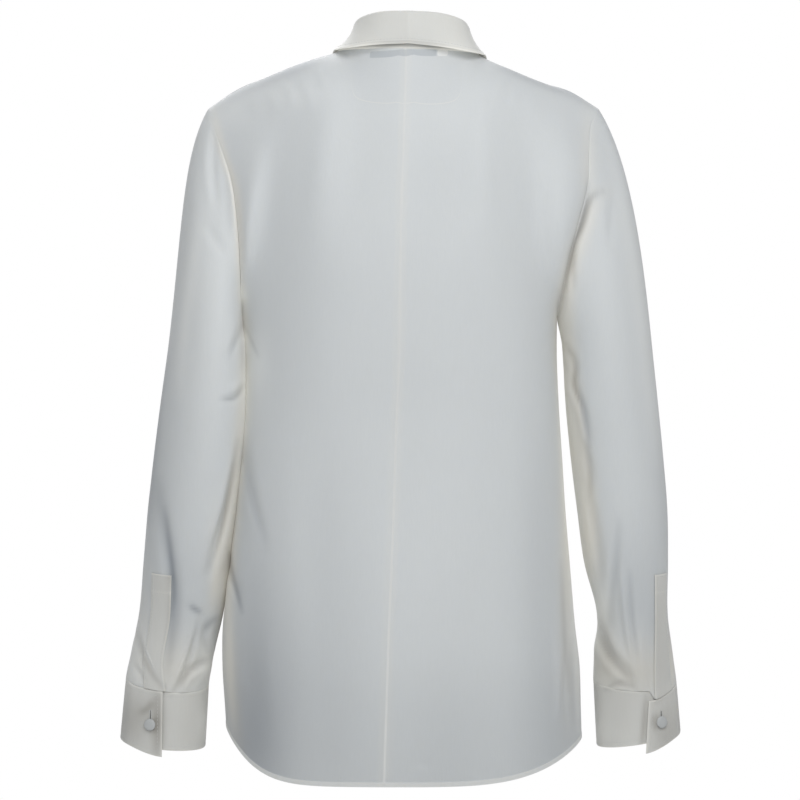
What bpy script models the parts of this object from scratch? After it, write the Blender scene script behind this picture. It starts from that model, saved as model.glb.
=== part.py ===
"""Silk shirt-blouse in the hollow shape it has when it is worn.

Frame: metres, +Z up. The garment faces -Y and its left side is +X. The origin is where the
wearer holds it: the middle of the neck opening, level with the back neck seam.

Every piece of cloth is an open surface, lofted through rows of points, that Solidify makes a
wall. The rows come from short tables of sections. Surfaces give the outer face of the cloth.
"""

import math
from collections import namedtuple

import bpy
from mathutils import Vector

# ---- driving dimensions -------------------------------------------------------------------
BACK_LENGTH = 0.709          # top of the shoulders to the lowest point of the shirt-tail hem
FRONT_LENGTH = 0.692         # the same level down to the lowest point of the front hem
SIDE_LENGTHS = (0.658, 0.669)    # down to the hem at the left and the right side seam
HEM_ROUNDING = (6.0, 4.2)    # how squarely the hem turns up to the left and the right seam
UNDERARM_LEVEL = -0.262      # height of the underarm point
SLEEVE_TOP_LEVEL = -0.300    # height where the sleeve has become a level tube
SHOULDER_LEVEL = -0.058      # height of the shoulder point, where the sleeve is set in

WALL = 0.0010                # one layer of silk
DOUBLE_WALL = 0.0016         # collar, cuffs and bands: two layers with an interlining
SEAM_GAP = 0.0003            # between pieces that are sewn together
SEAM_DRAW = 0.00032          # how far each edge is drawn back from a seam between panels
SHOULDER_DRAW = 0.00055      # the same along the neck and the sharper shoulder seam
ARMHOLE_DRAW = 0.0011        # how far the sleeve head is drawn out from the armhole edge

BAND_WIDTH = 0.030           # button band down the middle of the front
BAND_OVERLAP = 0.006         # width of the front panel that lies under the upper band
PLACKET_LENGTH = 0.113       # sleeve opening strip, above the cuff
PLACKET_DRAW = 0.0004        # lower end of the strip above the cuff seam
CUFF_DEPTH = 0.054
CUFF_OVERLAP = 42.0          # degrees of the cuff that lie under its buttoned end
BUTTON_RADIUS = 0.00575      # 18-line covered button
BUTTON_HEIGHT = 0.0030
FACING_DEPTH = 2.0           # half-moon facing inside the back neck, in rows of the panel
LABEL_DEPTH = 0.36           # the neck label, in the same rows
FACING_INSET = 0.0022        # how far the facing lies behind the back's outer face

SQUARENESS = 2.45            # superellipse power of the body's level sections
NECK_SHARE = 0.42            # share of a back panel's columns that end at the neck
BAND_SHARE = 0.08            # share of the front's columns that lie under the band
ARMHOLE_BLEND = 0.45         # share of a panel, next to the armhole, that is drawn to its curve

# ---- sections of the body, from the hem up: half widths, depths and the back seam's place --
Section = namedtuple("Section", "z left right back front seam")
BODY = (
    Section(-0.730, 0.165, 0.177, 0.118, 0.112, 0.0156),
    Section(-0.690, 0.167, 0.177, 0.117, 0.112, 0.0145),
    Section(-0.640, 0.170, 0.1757, 0.116, 0.112, 0.0130),
    Section(-0.600, 0.1725, 0.1745, 0.114, 0.112, 0.0118),
    Section(-0.560, 0.172, 0.170, 0.112, 0.111, 0.0105),
    Section(-0.500, 0.1655, 0.165, 0.108, 0.111, 0.0080),
    Section(-0.450, 0.160, 0.161, 0.104, 0.113, 0.0060),
    Section(-0.400, 0.156, 0.158, 0.101, 0.116, 0.0045),
    Section(-0.350, 0.1525, 0.155, 0.100, 0.120, 0.0030),
    Section(-0.300, 0.1525, 0.153, 0.103, 0.123, 0.0018),
    Section(-0.262, 0.153, 0.153, 0.106, 0.121, 0.0005),
)

# ---- neck ring, by degrees round from the back; the shoulder seam starts at 90 -------------
NECK_CENTRE = -0.008
NECK_HALF_WIDTH = 0.068
NECK_SIDE_Y = -0.008
NAPE_Y = 0.056
PIT_Y = -0.066
NAPE_SEAM_X = -0.0054
Neck = namedtuple("Neck", "turn z")
NECK = (
    Neck(0, -0.0048),
    Neck(45, -0.0050),
    Neck(75, -0.0065),
    Neck(90, -0.0095),
    Neck(110, -0.020),
    Neck(130, -0.037),
    Neck(150, -0.053),
    Neck(170, -0.066),
    Neck(190, -0.066),
    Neck(210, -0.053),
)

# ---- shoulder seam, from the neck out to the sleeve ----------------------------------------
Shoulder = namedtuple("Shoulder", "along left left_z right right_z y")
SHOULDER = (
    Shoulder(0.00, 0.060, -0.0095, 0.076, -0.0095, -0.008),
    Shoulder(0.25, 0.092, -0.0180, 0.105, -0.0235, -0.010),
    Shoulder(0.50, 0.124, -0.0293, 0.135, -0.0343, -0.012),
    Shoulder(0.75, 0.156, -0.0398, 0.165, -0.0418, -0.013),
    Shoulder(1.00, 0.187, -0.0580, 0.1935, -0.0580, -0.014),
)

# ---- armhole: how far out it lies at each height -------------------------------------------
ARMHOLE_BACK = 0.060
ARMHOLE_FRONT = 0.064
ARMHOLE_FRONT_INSET = 0.006
Armhole = namedtuple("Armhole", "z left right")
ARMHOLE = (
    Armhole(-0.262, 0.1530, 0.1530),
    Armhole(-0.220, 0.1535, 0.1570),
    Armhole(-0.177, 0.1560, 0.1660),
    Armhole(-0.133, 0.1620, 0.1780),
    Armhole(-0.099, 0.1730, 0.1850),
    Armhole(-0.075, 0.1820, 0.1900),
    Armhole(-0.058, 0.1870, 0.1935),
)

# ---- sleeves: level sections with the slope of each ring and the turn of its opening -------
Ring = namedtuple("Ring", "z outer inner back front skew side_slope back_slope turn")
SLEEVES = {
    "left": (
        Ring(-0.300, 0.2253, 0.1548, 0.068, -0.050, -0.20, 0.00, 0.00, 0),
        Ring(-0.350, 0.2323, 0.1543, 0.066, -0.048, -0.20, 0.00, 0.00, 4),
        Ring(-0.400, 0.2388, 0.1567, 0.060, -0.048, -0.20, 0.01, 0.00, 9),
        Ring(-0.450, 0.2447, 0.1609, 0.052, -0.050, -0.18, 0.02, -0.02, 13),
        Ring(-0.500, 0.2494, 0.1665, 0.044, -0.050, -0.14, 0.04, -0.06, 15),
        Ring(-0.550, 0.2540, 0.1736, 0.036, -0.050, -0.08, 0.05, -0.10, 10),
        Ring(-0.590, 0.2620, 0.1820, 0.028, -0.047, 0.00, 0.05, -0.15, 4),
        Ring(-0.623, 0.2670, 0.1862, 0.022, -0.036, 0.00, 0.05, -0.20, 0),
    ),
    "right": (
        Ring(-0.300, 0.2462, 0.1588, 0.056, -0.058, 0.00, 0.00, 0.00, 0),
        Ring(-0.350, 0.2515, 0.1615, 0.052, -0.056, 0.00, 0.00, 0.00, 8),
        Ring(-0.400, 0.2565, 0.1664, 0.046, -0.055, 0.00, 0.00, 0.00, 18),
        Ring(-0.450, 0.2605, 0.1727, 0.041, -0.054, 0.00, 0.01, -0.02, 28),
        Ring(-0.500, 0.2613, 0.1795, 0.036, -0.053, 0.00, 0.01, -0.06, 33),
        Ring(-0.550, 0.2610, 0.1920, 0.032, -0.052, 0.00, 0.01, -0.10, 28),
        Ring(-0.590, 0.2660, 0.1893, 0.028, -0.048, 0.00, 0.01, -0.15, 20),
        Ring(-0.623, 0.2695, 0.1883, 0.022, -0.036, 0.00, 0.01, -0.20, 14),
    ),
}
# Columns round a sleeve: degrees from its back towards its outer side. The opening strip
# covers 0 to 30 degrees.
SLEEVE_BACK_TURNS = (-90, -70, -50, -32, -15, 0, 15, 30, 48, 69, 90)
SLEEVE_FRONT_TURNS = (108, 126, 144, 162, 180, 198, 216, 234, 252)
SLEEVE_LIFT = 0.42           # how much the sleeve head stands out at its seam

# ---- cuffs: the lower ring and how far the buttoned end hangs below the other --------------
Cuff = namedtuple("Cuff", "outer inner side_slope back_slope top_droop bottom_droop button_turn"
                  " button_down")
CUFFS = {
    "left": Cuff(0.2727, 0.1895, 0.095, -0.20, 0.000, 0.005, 18, 0.54),
    "right": Cuff(0.2735, 0.1915, 0.080, -0.15, 0.008, 0.006, 18, 0.44),
}

# ---- collar: the fold at the top of the stand and the fall's free edge ---------------------
Collar = namedtuple("Collar", "turn fold_out fold_y fold_z edge_out edge_y edge_z")
COLLAR = (
    Collar(0, 0.0000, 0.050, 0.0270, 0.0000, 0.067, -0.0026),
    Collar(30, 0.0280, 0.044, 0.0262, 0.0345, 0.062, -0.0044),
    Collar(60, 0.0470, 0.027, 0.0228, 0.0610, 0.042, -0.0058),
    Collar(80, 0.0540, 0.008, 0.0185, 0.0715, 0.019, -0.0058),
    Collar(100, 0.0555, -0.012, 0.0100, 0.0775, -0.009, -0.0100),
    Collar(120, 0.0520, -0.032, -0.0035, 0.0775, -0.041, -0.0250),
    Collar(140, 0.0420, -0.047, -0.0190, 0.0690, -0.069, -0.0500),
    Collar(160, 0.0250, -0.057, -0.0330, 0.0560, -0.090, -0.0780),
    Collar(172, 0.0120, -0.060, -0.0390, 0.0440, -0.099, -0.0960),
    Collar(196, -0.0165, -0.060, -0.0390, 0.0200, -0.110, -0.1200),
)
COLLAR_TILT = 0.022          # the collar sits higher on the left: rise across its width
STAND_LIFT = 0.0014          # lower edge of the stand above the neck seam line
FALL_ROLL = 0.0025           # radius of the roll where the fall turns down
FALL_BOW = 0.0042            # how far out the fall bows below the roll

# ---- buttons down the front ----------------------------------------------------------------
FRONT_BUTTONS = 7
TOP_BUTTON_LEVEL = -0.112
BUTTON_SPACING = 0.083
STAND_BUTTON_TURN = 180.0

BACK_SEAM_TURN = math.degrees(math.asin((NAPE_SEAM_X - NECK_CENTRE) / NECK_HALF_WIDTH))
BAND_TURN = math.degrees(math.asin(BAND_WIDTH / 2 / NECK_HALF_WIDTH))

LEFT, RIGHT = 1, -1
SIDE_NAMES = {LEFT: "left", RIGHT: "right"}
CREAM = (0.78, 0.76, 0.69, 1.0)
SILK = (0.72, 0.74, 0.73, 1.0)
LABEL_GREY = (0.30, 0.34, 0.38, 1.0)
TAB_WHITE = (0.80, 0.80, 0.78, 1.0)
SILK_ROUGHNESS = 0.62


# ---- reading tables ------------------------------------------------------------------------
def at(table, place):
    """The row of a table at any place along its first column, on a smooth curve."""
    keys = [row[0] for row in table]
    descending = keys[0] > keys[-1]
    rows = table[::-1] if descending else table
    keys = [row[0] for row in rows]
    place = min(max(place, keys[0]), keys[-1])
    low = max(i for i in range(len(rows) - 1) if keys[i] <= place)
    span = keys[low + 1] - keys[low]
    t = (place - keys[low]) / span
    values = []
    for column in range(len(rows[0])):
        p1, p2 = rows[low][column], rows[low + 1][column]
        slope1 = column_slope(rows, low, column) * span
        slope2 = column_slope(rows, low + 1, column) * span
        values.append(
            p1 * (2 * t**3 - 3 * t**2 + 1) + slope1 * (t**3 - 2 * t**2 + t)
            + p2 * (3 * t**2 - 2 * t**3) + slope2 * (t**3 - t**2))
    return type(rows[0])(*values)


def column_slope(rows, index, column):
    """Slope of a table's column at a row, from the rows on each side."""
    before, after = max(index - 1, 0), min(index + 1, len(rows) - 1)
    return (rows[after][column] - rows[before][column]) / (rows[after][0] - rows[before][0])


def steps(first, last, count):
    """Evenly spaced values from first to last, with both ends."""
    return [first + (last - first) * i / count for i in range(count + 1)]


def smooth(value):
    """Ease from 0 to 1."""
    value = min(max(value, 0.0), 1.0)
    return value * value * (3 - 2 * value)


def bezier(start, handle, far_handle, end, t):
    """Point on a cubic curve."""
    u = 1 - t
    return start * u**3 + handle * (3 * u * u * t) + far_handle * (3 * u * t * t) + end * t**3


# ---- the body's surface --------------------------------------------------------------------
def bulge(value):
    """Signed superellipse power of a sine or cosine."""
    return math.copysign(abs(value) ** (2 / SQUARENESS), value)


def angle_at(x, centre, half):
    """Angle round a superellipse at which it reaches x."""
    ratio = (x - centre) / half
    return math.asin(math.copysign(abs(ratio) ** (SQUARENESS / 2), ratio))


def spread(across, start, band, share):
    """Angle for a place across a panel: from the middle line (0) to the side (1 or -1)."""
    end = math.copysign(math.pi / 2, across)
    part = abs(across)
    edge = start + math.copysign(band, across)
    if part < share:
        return start + (edge - start) * part / share
    return edge + (end - edge) * (part - share) / (1 - share)


def ring_point(face, across, z):
    """Point of the body's level section; across is 0 at the middle seam and 1 at the left."""
    row = at(BODY, z)
    centre, half = (row.left - row.right) / 2, (row.left + row.right) / 2
    if face == "back":
        angle = spread(across, angle_at(row.seam, centre, half), 0, 0)
        depth = row.back
    else:
        band = angle_at(BAND_WIDTH / 2, 0, half)
        angle = spread(across, 0, band, BAND_SHARE)
        depth = -row.front
    return Vector((centre + half * bulge(math.sin(angle)), depth * bulge(math.cos(angle)), z))


def neck_point(turn):
    """Point of the neck seam, by degrees round from the back towards the left."""
    angle = math.radians(turn)
    reach = NAPE_Y if math.cos(angle) > 0 else -PIT_Y
    offset = NECK_SIDE_Y if math.cos(angle) > 0 else -NECK_SIDE_Y
    return Vector((NECK_CENTRE + NECK_HALF_WIDTH * math.sin(angle),
                   NECK_SIDE_Y + (reach - offset) * math.cos(angle),
                   at(NECK, abs(turn)).z))


def top_point(face, across):
    """Point of a panel's upper edge: the neck seam, then the shoulder seam."""
    part = abs(across)
    side = math.copysign(1, across)
    if part > NECK_SHARE:
        row = at(SHOULDER, (part - NECK_SHARE) / (1 - NECK_SHARE))
        if side > 0:
            return Vector((row.left, row.y, row.left_z))
        return Vector((-row.right, row.y, row.right_z))
    if face == "back":
        return neck_point(BACK_SEAM_TURN + (side * 90 - BACK_SEAM_TURN) * part / NECK_SHARE)
    if part <= BAND_SHARE:
        return neck_point(side * (180 - BAND_TURN * part / BAND_SHARE))
    rest = (part - BAND_SHARE) / (NECK_SHARE - BAND_SHARE)
    return neck_point(side * (180 - BAND_TURN - (90 - BAND_TURN) * rest))


def upper_column(face, across, up):
    """Point of the body above the underarm: a curve from the chest over to the upper edge."""
    start = ring_point(face, across, UNDERARM_LEVEL)
    end = top_point(face, across)
    over = smooth((abs(across) - 0.12) / (NECK_SHARE - 0.06))
    forward = -1 if face == "back" else 1
    neck_slope = Vector((0, forward * 0.50, 0.87))
    shoulder_slope = Vector((0, forward * 0.95, forward * 0.30))
    arrival = neck_slope.lerp(shoulder_slope, over).normalized()
    rise = end.z - start.z
    reach = abs(end.y - start.y)
    far_length = (0.30 * rise) * (1 - over) + (0.25 * rise + 0.25 * reach) * over
    near_length = rise * (0.36 + 0.16 * over)
    return bezier(start, start + Vector((0, 0, near_length)), end - arrival * far_length, end, up)


def armhole_point(face, side, up):
    """Point of the armhole seam, from the underarm (0) to the shoulder point (1)."""
    angle = math.pi * up
    middle = (UNDERARM_LEVEL + SHOULDER_LEVEL) / 2
    half = (SHOULDER_LEVEL - UNDERARM_LEVEL) / 2
    z = middle - half * math.cos(angle)
    oval = math.sin(angle) * (1 + 0.3 * math.cos(angle)) / 1.05
    lean = SHOULDER[-1].y * up
    row = at(ARMHOLE, z)
    reach = row.left if side > 0 else row.right
    if face == "front":
        return Vector((side * (reach - ARMHOLE_FRONT_INSET * math.sin(angle)),
                       lean - ARMHOLE_FRONT * oval, z))
    return Vector((side * reach, lean + ARMHOLE_BACK * oval, z))


def hem_level(face, across):
    """Height of the shirt-tail hem: long in the middle, rounded up to the side seams."""
    length = BACK_LENGTH if face == "back" else FRONT_LENGTH
    side = SIDE_LENGTHS[across <= 0]
    reach = bulge(math.sin(abs(across) * math.pi / 2))
    return -side - (length - side) * (1 - reach ** HEM_ROUNDING[across <= 0])


def body_point(face, across, level):
    """Point of the body: level runs from 0 at the hem to 1 at the underarm and 2 at the top."""
    if level <= 1:
        hem = hem_level(face, across)
        return ring_point(face, across, hem + (UNDERARM_LEVEL - hem) * level)
    up = level - 1
    side = LEFT if across > 0 else RIGHT
    pull = smooth((abs(across) - 1 + ARMHOLE_BLEND) / ARMHOLE_BLEND)
    drift = armhole_point(face, side, up) - upper_column(face, side, up)
    return upper_column(face, across, up) + drift * pull


LEVELS = steps(0, 1, 6) + steps(1, 2, 10)[1:]
PANEL_COLUMNS = steps(0, NECK_SHARE, 5) + steps(NECK_SHARE, 1, 6)[1:]
FRONT_COLUMNS = steps(BAND_SHARE, NECK_SHARE, 4) + steps(NECK_SHARE, 1, 6)[1:]
HIDDEN_EDGE = BAND_SHARE * (1 - BAND_OVERLAP / (BAND_WIDTH / 2))


def body_rows(face, columns, levels):
    """Rows of points on the body, from the hem up."""
    return [[body_point(face, across, level) for across in columns] for level in levels]


# ---- the sleeves' surface ------------------------------------------------------------------
def ring_at(side, z):
    return at(SLEEVES[SIDE_NAMES[side]], z)


def sleeve_ring_point(side, row, turn):
    """Point of a sleeve's ring; turn is degrees from its back towards its outer side."""
    angle = math.radians(turn + row.turn)
    centre, half = (row.outer + row.inner) / 2, (row.outer - row.inner) / 2
    middle, depth = (row.back + row.front) / 2, (row.back - row.front) / 2
    out, rear = half * math.sin(angle), depth * math.cos(angle)
    z = row.z + row.side_slope * out + row.back_slope * rear
    return Vector((side * (centre + out + row.skew * rear), middle + rear, z))


def sleeve_columns(side):
    """The armhole point and the turn of each column round a sleeve, underarm first."""
    back_ups = steps(0, 1, len(SLEEVE_BACK_TURNS) - 1)
    columns = [(armhole_point("back", side, up), turn)
               for up, turn in zip(back_ups, SLEEVE_BACK_TURNS)]
    front_ups = steps(1, 0, len(SLEEVE_FRONT_TURNS) + 1)[1:-1]
    columns += [(armhole_point("front", side, up), turn)
                for up, turn in zip(front_ups, SLEEVE_FRONT_TURNS)]
    return columns


def head_point(side, seam, turn, down):
    """Point of the sleeve head, from the armhole seam (0) to the level tube (1)."""
    first = ring_at(side, SLEEVE_TOP_LEVEL)
    after = ring_at(side, SLEEVE_TOP_LEVEL - 0.02)
    start = seam + Vector((side * ARMHOLE_DRAW, 0, 0))
    end = sleeve_ring_point(side, first, turn)
    onward = (sleeve_ring_point(side, after, turn) - end).normalized()
    run = (end - start).length
    leave = ((end - start) / run + Vector((side * SLEEVE_LIFT, 0, 0))).normalized()
    return bezier(start, start + leave * run * 0.24, end - onward * run * 0.38, end, down)


def cuff_seam_droop(side, turn):
    """How far the seam between sleeve and cuff hangs down at the cuff's buttoned end."""
    cuff = CUFFS[SIDE_NAMES[side]]
    turned = (turn + 180) % 360 - 180
    if turned < 0:
        return cuff.top_droop * smooth(1 + turned / 15)
    return cuff.top_droop * (1 - smooth((turned - 20) / 90))


def sleeve_rows(side):
    """Rows of points on a sleeve, from the cuff up to the armhole."""
    rings = SLEEVES[SIDE_NAMES[side]]
    columns = sleeve_columns(side)
    rows = []
    for row in rings[::-1]:
        rows.append([sleeve_ring_point(side, row, turn) for seam, turn in columns])
    for column, (seam, turn) in enumerate(columns):
        rows[0][column].z += 1.8 * SEAM_GAP - cuff_seam_droop(side, turn)
    for down in steps(1, 0, 8)[1:]:
        rows.append([head_point(side, seam, turn, down) for seam, turn in columns])
    return rows


# ---- meshes --------------------------------------------------------------------------------
def shifted(rows, distance, closed=False):
    """Rows of points moved out along the surface's own normals."""
    last = len(rows) - 1
    count = len(rows[0])
    moved = []
    for r, row in enumerate(rows):
        line = []
        for c, point in enumerate(row):
            if closed:
                along = row[(c + 1) % count] - row[c - 1]
            else:
                along = row[min(c + 1, count - 1)] - row[max(c - 1, 0)]
            rise = rows[min(r + 1, last)][c] - rows[max(r - 1, 0)][c]
            line.append(point + along.cross(rise).normalized() * distance)
        moved.append(line)
    return moved


def drawn_in(rows, distance, sides):
    """Rows with the named edges drawn back from the seams that they meet."""
    rows = [list(row) for row in rows]
    if "bottom" in sides:
        rows[0] = [near + (far - near).normalized() * distance
                   for near, far in zip(rows[0], rows[1])]
    if "top" in sides:
        rows[-1] = [near + (far - near).normalized() * distance
                    for near, far in zip(rows[-1], rows[-2])]
    for row in rows:
        if "first" in sides:
            row[0] = row[0] + (row[1] - row[0]).normalized() * distance
        if "last" in sides:
            row[-1] = row[-1] + (row[-2] - row[-1]).normalized() * distance
    return rows


def add_material(thing, colour, roughness):
    """Give an object its own material."""
    material = bpy.data.materials.new(thing.name + "_finish")
    material.use_nodes = True
    shader = material.node_tree.nodes["Principled BSDF"]
    shader.inputs["Base Color"].default_value = colour
    shader.inputs["Roughness"].default_value = roughness
    shader.inputs["Metallic"].default_value = 0.0
    thing.data.materials.append(material)


def cloth(name, rows, wall, colour, closed=False, centred=False):
    """A piece of cloth: a surface through rows of points, thickened inward or about itself.

    Each row runs anticlockwise seen from above, and the rows run upward, so faces point out.
    """
    count = len(rows[0])
    points = [point for row in rows for point in row]
    faces = []
    for r in range(len(rows) - 1):
        for c in range(count if closed else count - 1):
            after = (c + 1) % count
            faces.append((r * count + c, r * count + after,
                          (r + 1) * count + after, (r + 1) * count + c))
    mesh = bpy.data.meshes.new(name)
    mesh.from_pydata(points, [], faces)
    mesh.shade_smooth()
    piece = bpy.data.objects.new(name, mesh)
    garment.objects.link(piece)
    thickness = piece.modifiers.new("wall", "SOLIDIFY")
    thickness.thickness = wall
    thickness.offset = 0 if centred else -1
    add_material(piece, colour, SILK_ROUGHNESS)
    return piece


def button(name, seat, outward):
    """A covered button: a domed disc, its flat back a seam's gap off the cloth."""
    profile = [(0, BUTTON_HEIGHT), (0.55 * BUTTON_RADIUS, 0.93 * BUTTON_HEIGHT),
               (0.90 * BUTTON_RADIUS, 0.70 * BUTTON_HEIGHT), (BUTTON_RADIUS, 0.38 * BUTTON_HEIGHT),
               (0.72 * BUTTON_RADIUS, 0), (0, 0)]
    mesh = bpy.data.meshes.new(name)
    mesh.from_pydata([(radius, 0, height) for radius, height in profile],
                     [(i, i + 1) for i in range(len(profile) - 1)], [])
    piece = bpy.data.objects.new(name, mesh)
    garment.objects.link(piece)
    turn = piece.modifiers.new("turn", "SCREW")
    turn.steps = turn.render_steps = 12
    turn.use_merge_vertices = True
    turn.merge_threshold = 0.00001
    piece.rotation_mode = "QUATERNION"
    piece.rotation_quaternion = Vector((0, 0, 1)).rotation_difference(outward)
    piece.location = seat + outward * SEAM_GAP
    add_material(piece, CREAM, 0.5)
    return piece


# ---- pieces --------------------------------------------------------------------------------
def sewn_rows(face, columns):
    """Rows of a panel, its edges drawn back from its seams at the sides and at the top."""
    rows = drawn_in(body_rows(face, columns, LEVELS), SEAM_DRAW, ("first", "last"))
    return drawn_in(rows, SHOULDER_DRAW, ("top",))


def make_panels():
    """Two back panels with a seam down the middle, and two fronts."""
    left_columns = PANEL_COLUMNS[::-1]
    right_columns = [-across for across in PANEL_COLUMNS]
    cloth("back_left", sewn_rows("back", left_columns), WALL, SILK)
    cloth("back_right", sewn_rows("back", right_columns), WALL, SILK)
    right_columns = [-across for across in FRONT_COLUMNS[:0:-1]] + [-HIDDEN_EDGE]
    cloth("front_left", sewn_rows("front", FRONT_COLUMNS), WALL, SILK)
    cloth("front_right", sewn_rows("front", right_columns), WALL, SILK)


def band_rows():
    """Outer face of the upper band: the front's own points moved out."""
    rows = body_rows("front", steps(-BAND_SHARE, BAND_SHARE, 3), LEVELS)
    return shifted(rows, DOUBLE_WALL + SEAM_GAP)


def make_bands():
    """The under band, level with the fronts, and the upper band that buttons over it."""
    under = sewn_rows("front", steps(-HIDDEN_EDGE, BAND_SHARE, 2))
    cloth("front_band_under", under, WALL, CREAM)
    upper = drawn_in(band_rows(), SHOULDER_DRAW, ("top",))
    cloth("front_band_upper", upper, DOUBLE_WALL, CREAM)
    return upper


def make_sleeve(side):
    """One sleeve with the strip that binds its opening above the cuff."""
    name = SIDE_NAMES[side]
    rows = sleeve_rows(side)
    if side == RIGHT:
        rows = [row[::-1] for row in rows]
    rows = [row[::-1] for row in rows]
    cloth("sleeve_" + name, rows, WALL, SILK, closed=True)
    return rows


def make_placket(side, rows):
    """The strip on the sleeve, made from the sleeve's own points moved out."""
    name = SIDE_NAMES[side]
    columns = sleeve_columns(side)
    order = columns[::-1] if side == LEFT else columns
    strip = [c for c, (seam, turn) in enumerate(order) if 0 <= turn <= 30]
    outer = shifted(rows, DOUBLE_WALL + 1.6 * SEAM_GAP, closed=True)
    lower = [row[strip[0]:strip[-1] + 1] for row in outer[:4]]
    foot = lower[0]
    run = (lower[3][1] - foot[1]).length
    below_top = (lower[2][1] - foot[1]).length
    share = (PLACKET_LENGTH - below_top) / (run - below_top)
    top = [below.lerp(above, share) for below, above in zip(lower[2], lower[3])]
    strip_rows = drawn_in(lower[:3] + [top], PLACKET_DRAW, ("bottom",))
    cloth("placket_" + name, strip_rows, DOUBLE_WALL, CREAM)


def cuff_point(side, turn, down, lap):
    """Point of a cuff, from its seam with the sleeve (0) to its lower edge (1)."""
    cuff = CUFFS[SIDE_NAMES[side]]
    top = ring_at(side, SLEEVES[SIDE_NAMES[side]][-1].z)
    low = top._replace(z=top.z - CUFF_DEPTH, outer=cuff.outer, inner=cuff.inner,
                       side_slope=cuff.side_slope, back_slope=cuff.back_slope)
    row = Ring(*[a + (b - a) * down for a, b in zip(top, low)])
    point = sleeve_ring_point(side, row, turn)
    middle = Vector((side * (row.outer + row.inner) / 2, (row.back + row.front) / 2, point.z))
    point += (point - middle).normalized() * lap
    hang = 1 - smooth(turn / 110) if turn < 180 else 0
    point.z -= cuff_seam_droop(side, turn) + (cuff.bottom_droop - cuff.top_droop) * hang * down
    return point


def cuff_lap(turn):
    """How far the buttoned end stands off the end below it."""
    return (DOUBLE_WALL + 1.6 * SEAM_GAP) * (1 - smooth((turn - CUFF_OVERLAP) / 60))


def make_cuff(side):
    """A cuff: one strip wrapped round the wrist, its buttoned end over the other."""
    name = SIDE_NAMES[side]
    around = [turn % 360 for seam, turn in sleeve_columns(side)]
    turns = sorted(around) + [360, 375, 390, 360 + CUFF_OVERLAP]
    rows = [[cuff_point(side, turn, down, cuff_lap(turn)) for turn in turns]
            for down in (1, 0.5, 0)]
    if side == LEFT:
        rows = [row[::-1] for row in rows]
    cloth("cuff_" + name, rows, DOUBLE_WALL, CREAM)
    turn, down = CUFFS[name].button_turn, CUFFS[name].button_down
    seat = cuff_point(side, turn, down, cuff_lap(turn))
    beside = cuff_point(side, turn + 4, down, cuff_lap(turn))
    below = cuff_point(side, turn, down + 0.1, cuff_lap(turn))
    outward = (beside - seat).cross(seat - below).normalized() * -side
    button("button_cuff_" + name, seat, outward)


def neck_turns():
    """Turns of the neck seam at the panels' own columns, from the left end round to the right.

    The stand passes the middle of the front by half a band at each end.
    """
    back = [BACK_SEAM_TURN + (90 - BACK_SEAM_TURN) * k / 5 for k in range(5, -1, -1)]
    back += [BACK_SEAM_TURN - (90 + BACK_SEAM_TURN) * k / 5 for k in range(1, 6)]
    front = [180 - BAND_TURN - (90 - BAND_TURN) * k / 4 for k in range(4)]
    left = [180 + BAND_TURN, 180] + front
    return left + back + [-turn for turn in left[::-1]]


def fold_point(turn):
    """Top of the stand, by degrees round from the back towards the left."""
    row = at(COLLAR, abs(turn))
    out = math.copysign(1, turn) * row.fold_out
    return Vector((NECK_CENTRE + out, row.fold_y, row.fold_z + COLLAR_TILT * out))


def edge_point(turn):
    """Free edge of the fall."""
    row = at(COLLAR, abs(turn))
    out = math.copysign(1, turn) * row.edge_out
    rise = COLLAR_TILT * (out + NECK_HALF_WIDTH)
    return Vector((NECK_CENTRE + out, row.edge_y, row.edge_z + rise))


def stand_lap(turn):
    """The right end of the stand lies over the left one."""
    return (DOUBLE_WALL + SEAM_GAP) * smooth((-turn - 130) / 40)


def stand_point(turn, up):
    """Point of the collar stand, from the neck seam (0) to the fold (1)."""
    low = neck_point(turn)
    high = fold_point(turn)
    low = low + (high - low).normalized() * STAND_LIFT
    out = Vector((low.x - NECK_CENTRE, low.y - NECK_SIDE_Y, 0)).normalized()
    return low.lerp(high, up) + out * stand_lap(turn)


def fall_point(turn, down):
    """Point of the fall: a roll over the stand's top, then down and out to the free edge."""
    fold = stand_point(turn, 1)
    edge = edge_point(turn)
    out = Vector((edge.x - fold.x, edge.y - fold.y, 0)).normalized()
    rise = Vector((0, 0, 2.2 * SEAM_GAP + DOUBLE_WALL / 2))
    if down <= 0:
        angle = math.pi * (1 + down)
        return fold + rise + out * FALL_ROLL * (1 - math.cos(angle)) \
            + Vector((0, 0, FALL_ROLL * math.sin(angle)))
    start = fold + rise + out * FALL_ROLL * 2
    bend = start + Vector((0, 0, 0.55 * (edge.z - start.z))) + out * FALL_BOW
    return start.lerp(bend, down).lerp(bend.lerp(edge, down), down)


def make_collar():
    """The stand round the neck and the fall that turns down over it.

    The fall stops at the button band, two columns short of each end of the stand.
    """
    turns = neck_turns()
    cloth("collar_stand", [[stand_point(turn, up) for turn in turns] for up in (0, 0.5, 1)],
          DOUBLE_WALL, CREAM, centred=True)
    downs = steps(1, 0, 4) + steps(0, -1, 3)[1:]
    cloth("collar_fall", [[fall_point(turn, down) for turn in turns[2:-2]] for down in downs],
          DOUBLE_WALL, CREAM, centred=True)
    turn = -STAND_BUTTON_TURN
    seat = stand_point(turn, 0.5)
    outward = (stand_point(turn - 2, 0.5) - seat).cross(stand_point(turn, 0.7) - seat).normalized()
    button("button_stand", seat + outward * DOUBLE_WALL / 2, outward)


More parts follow.
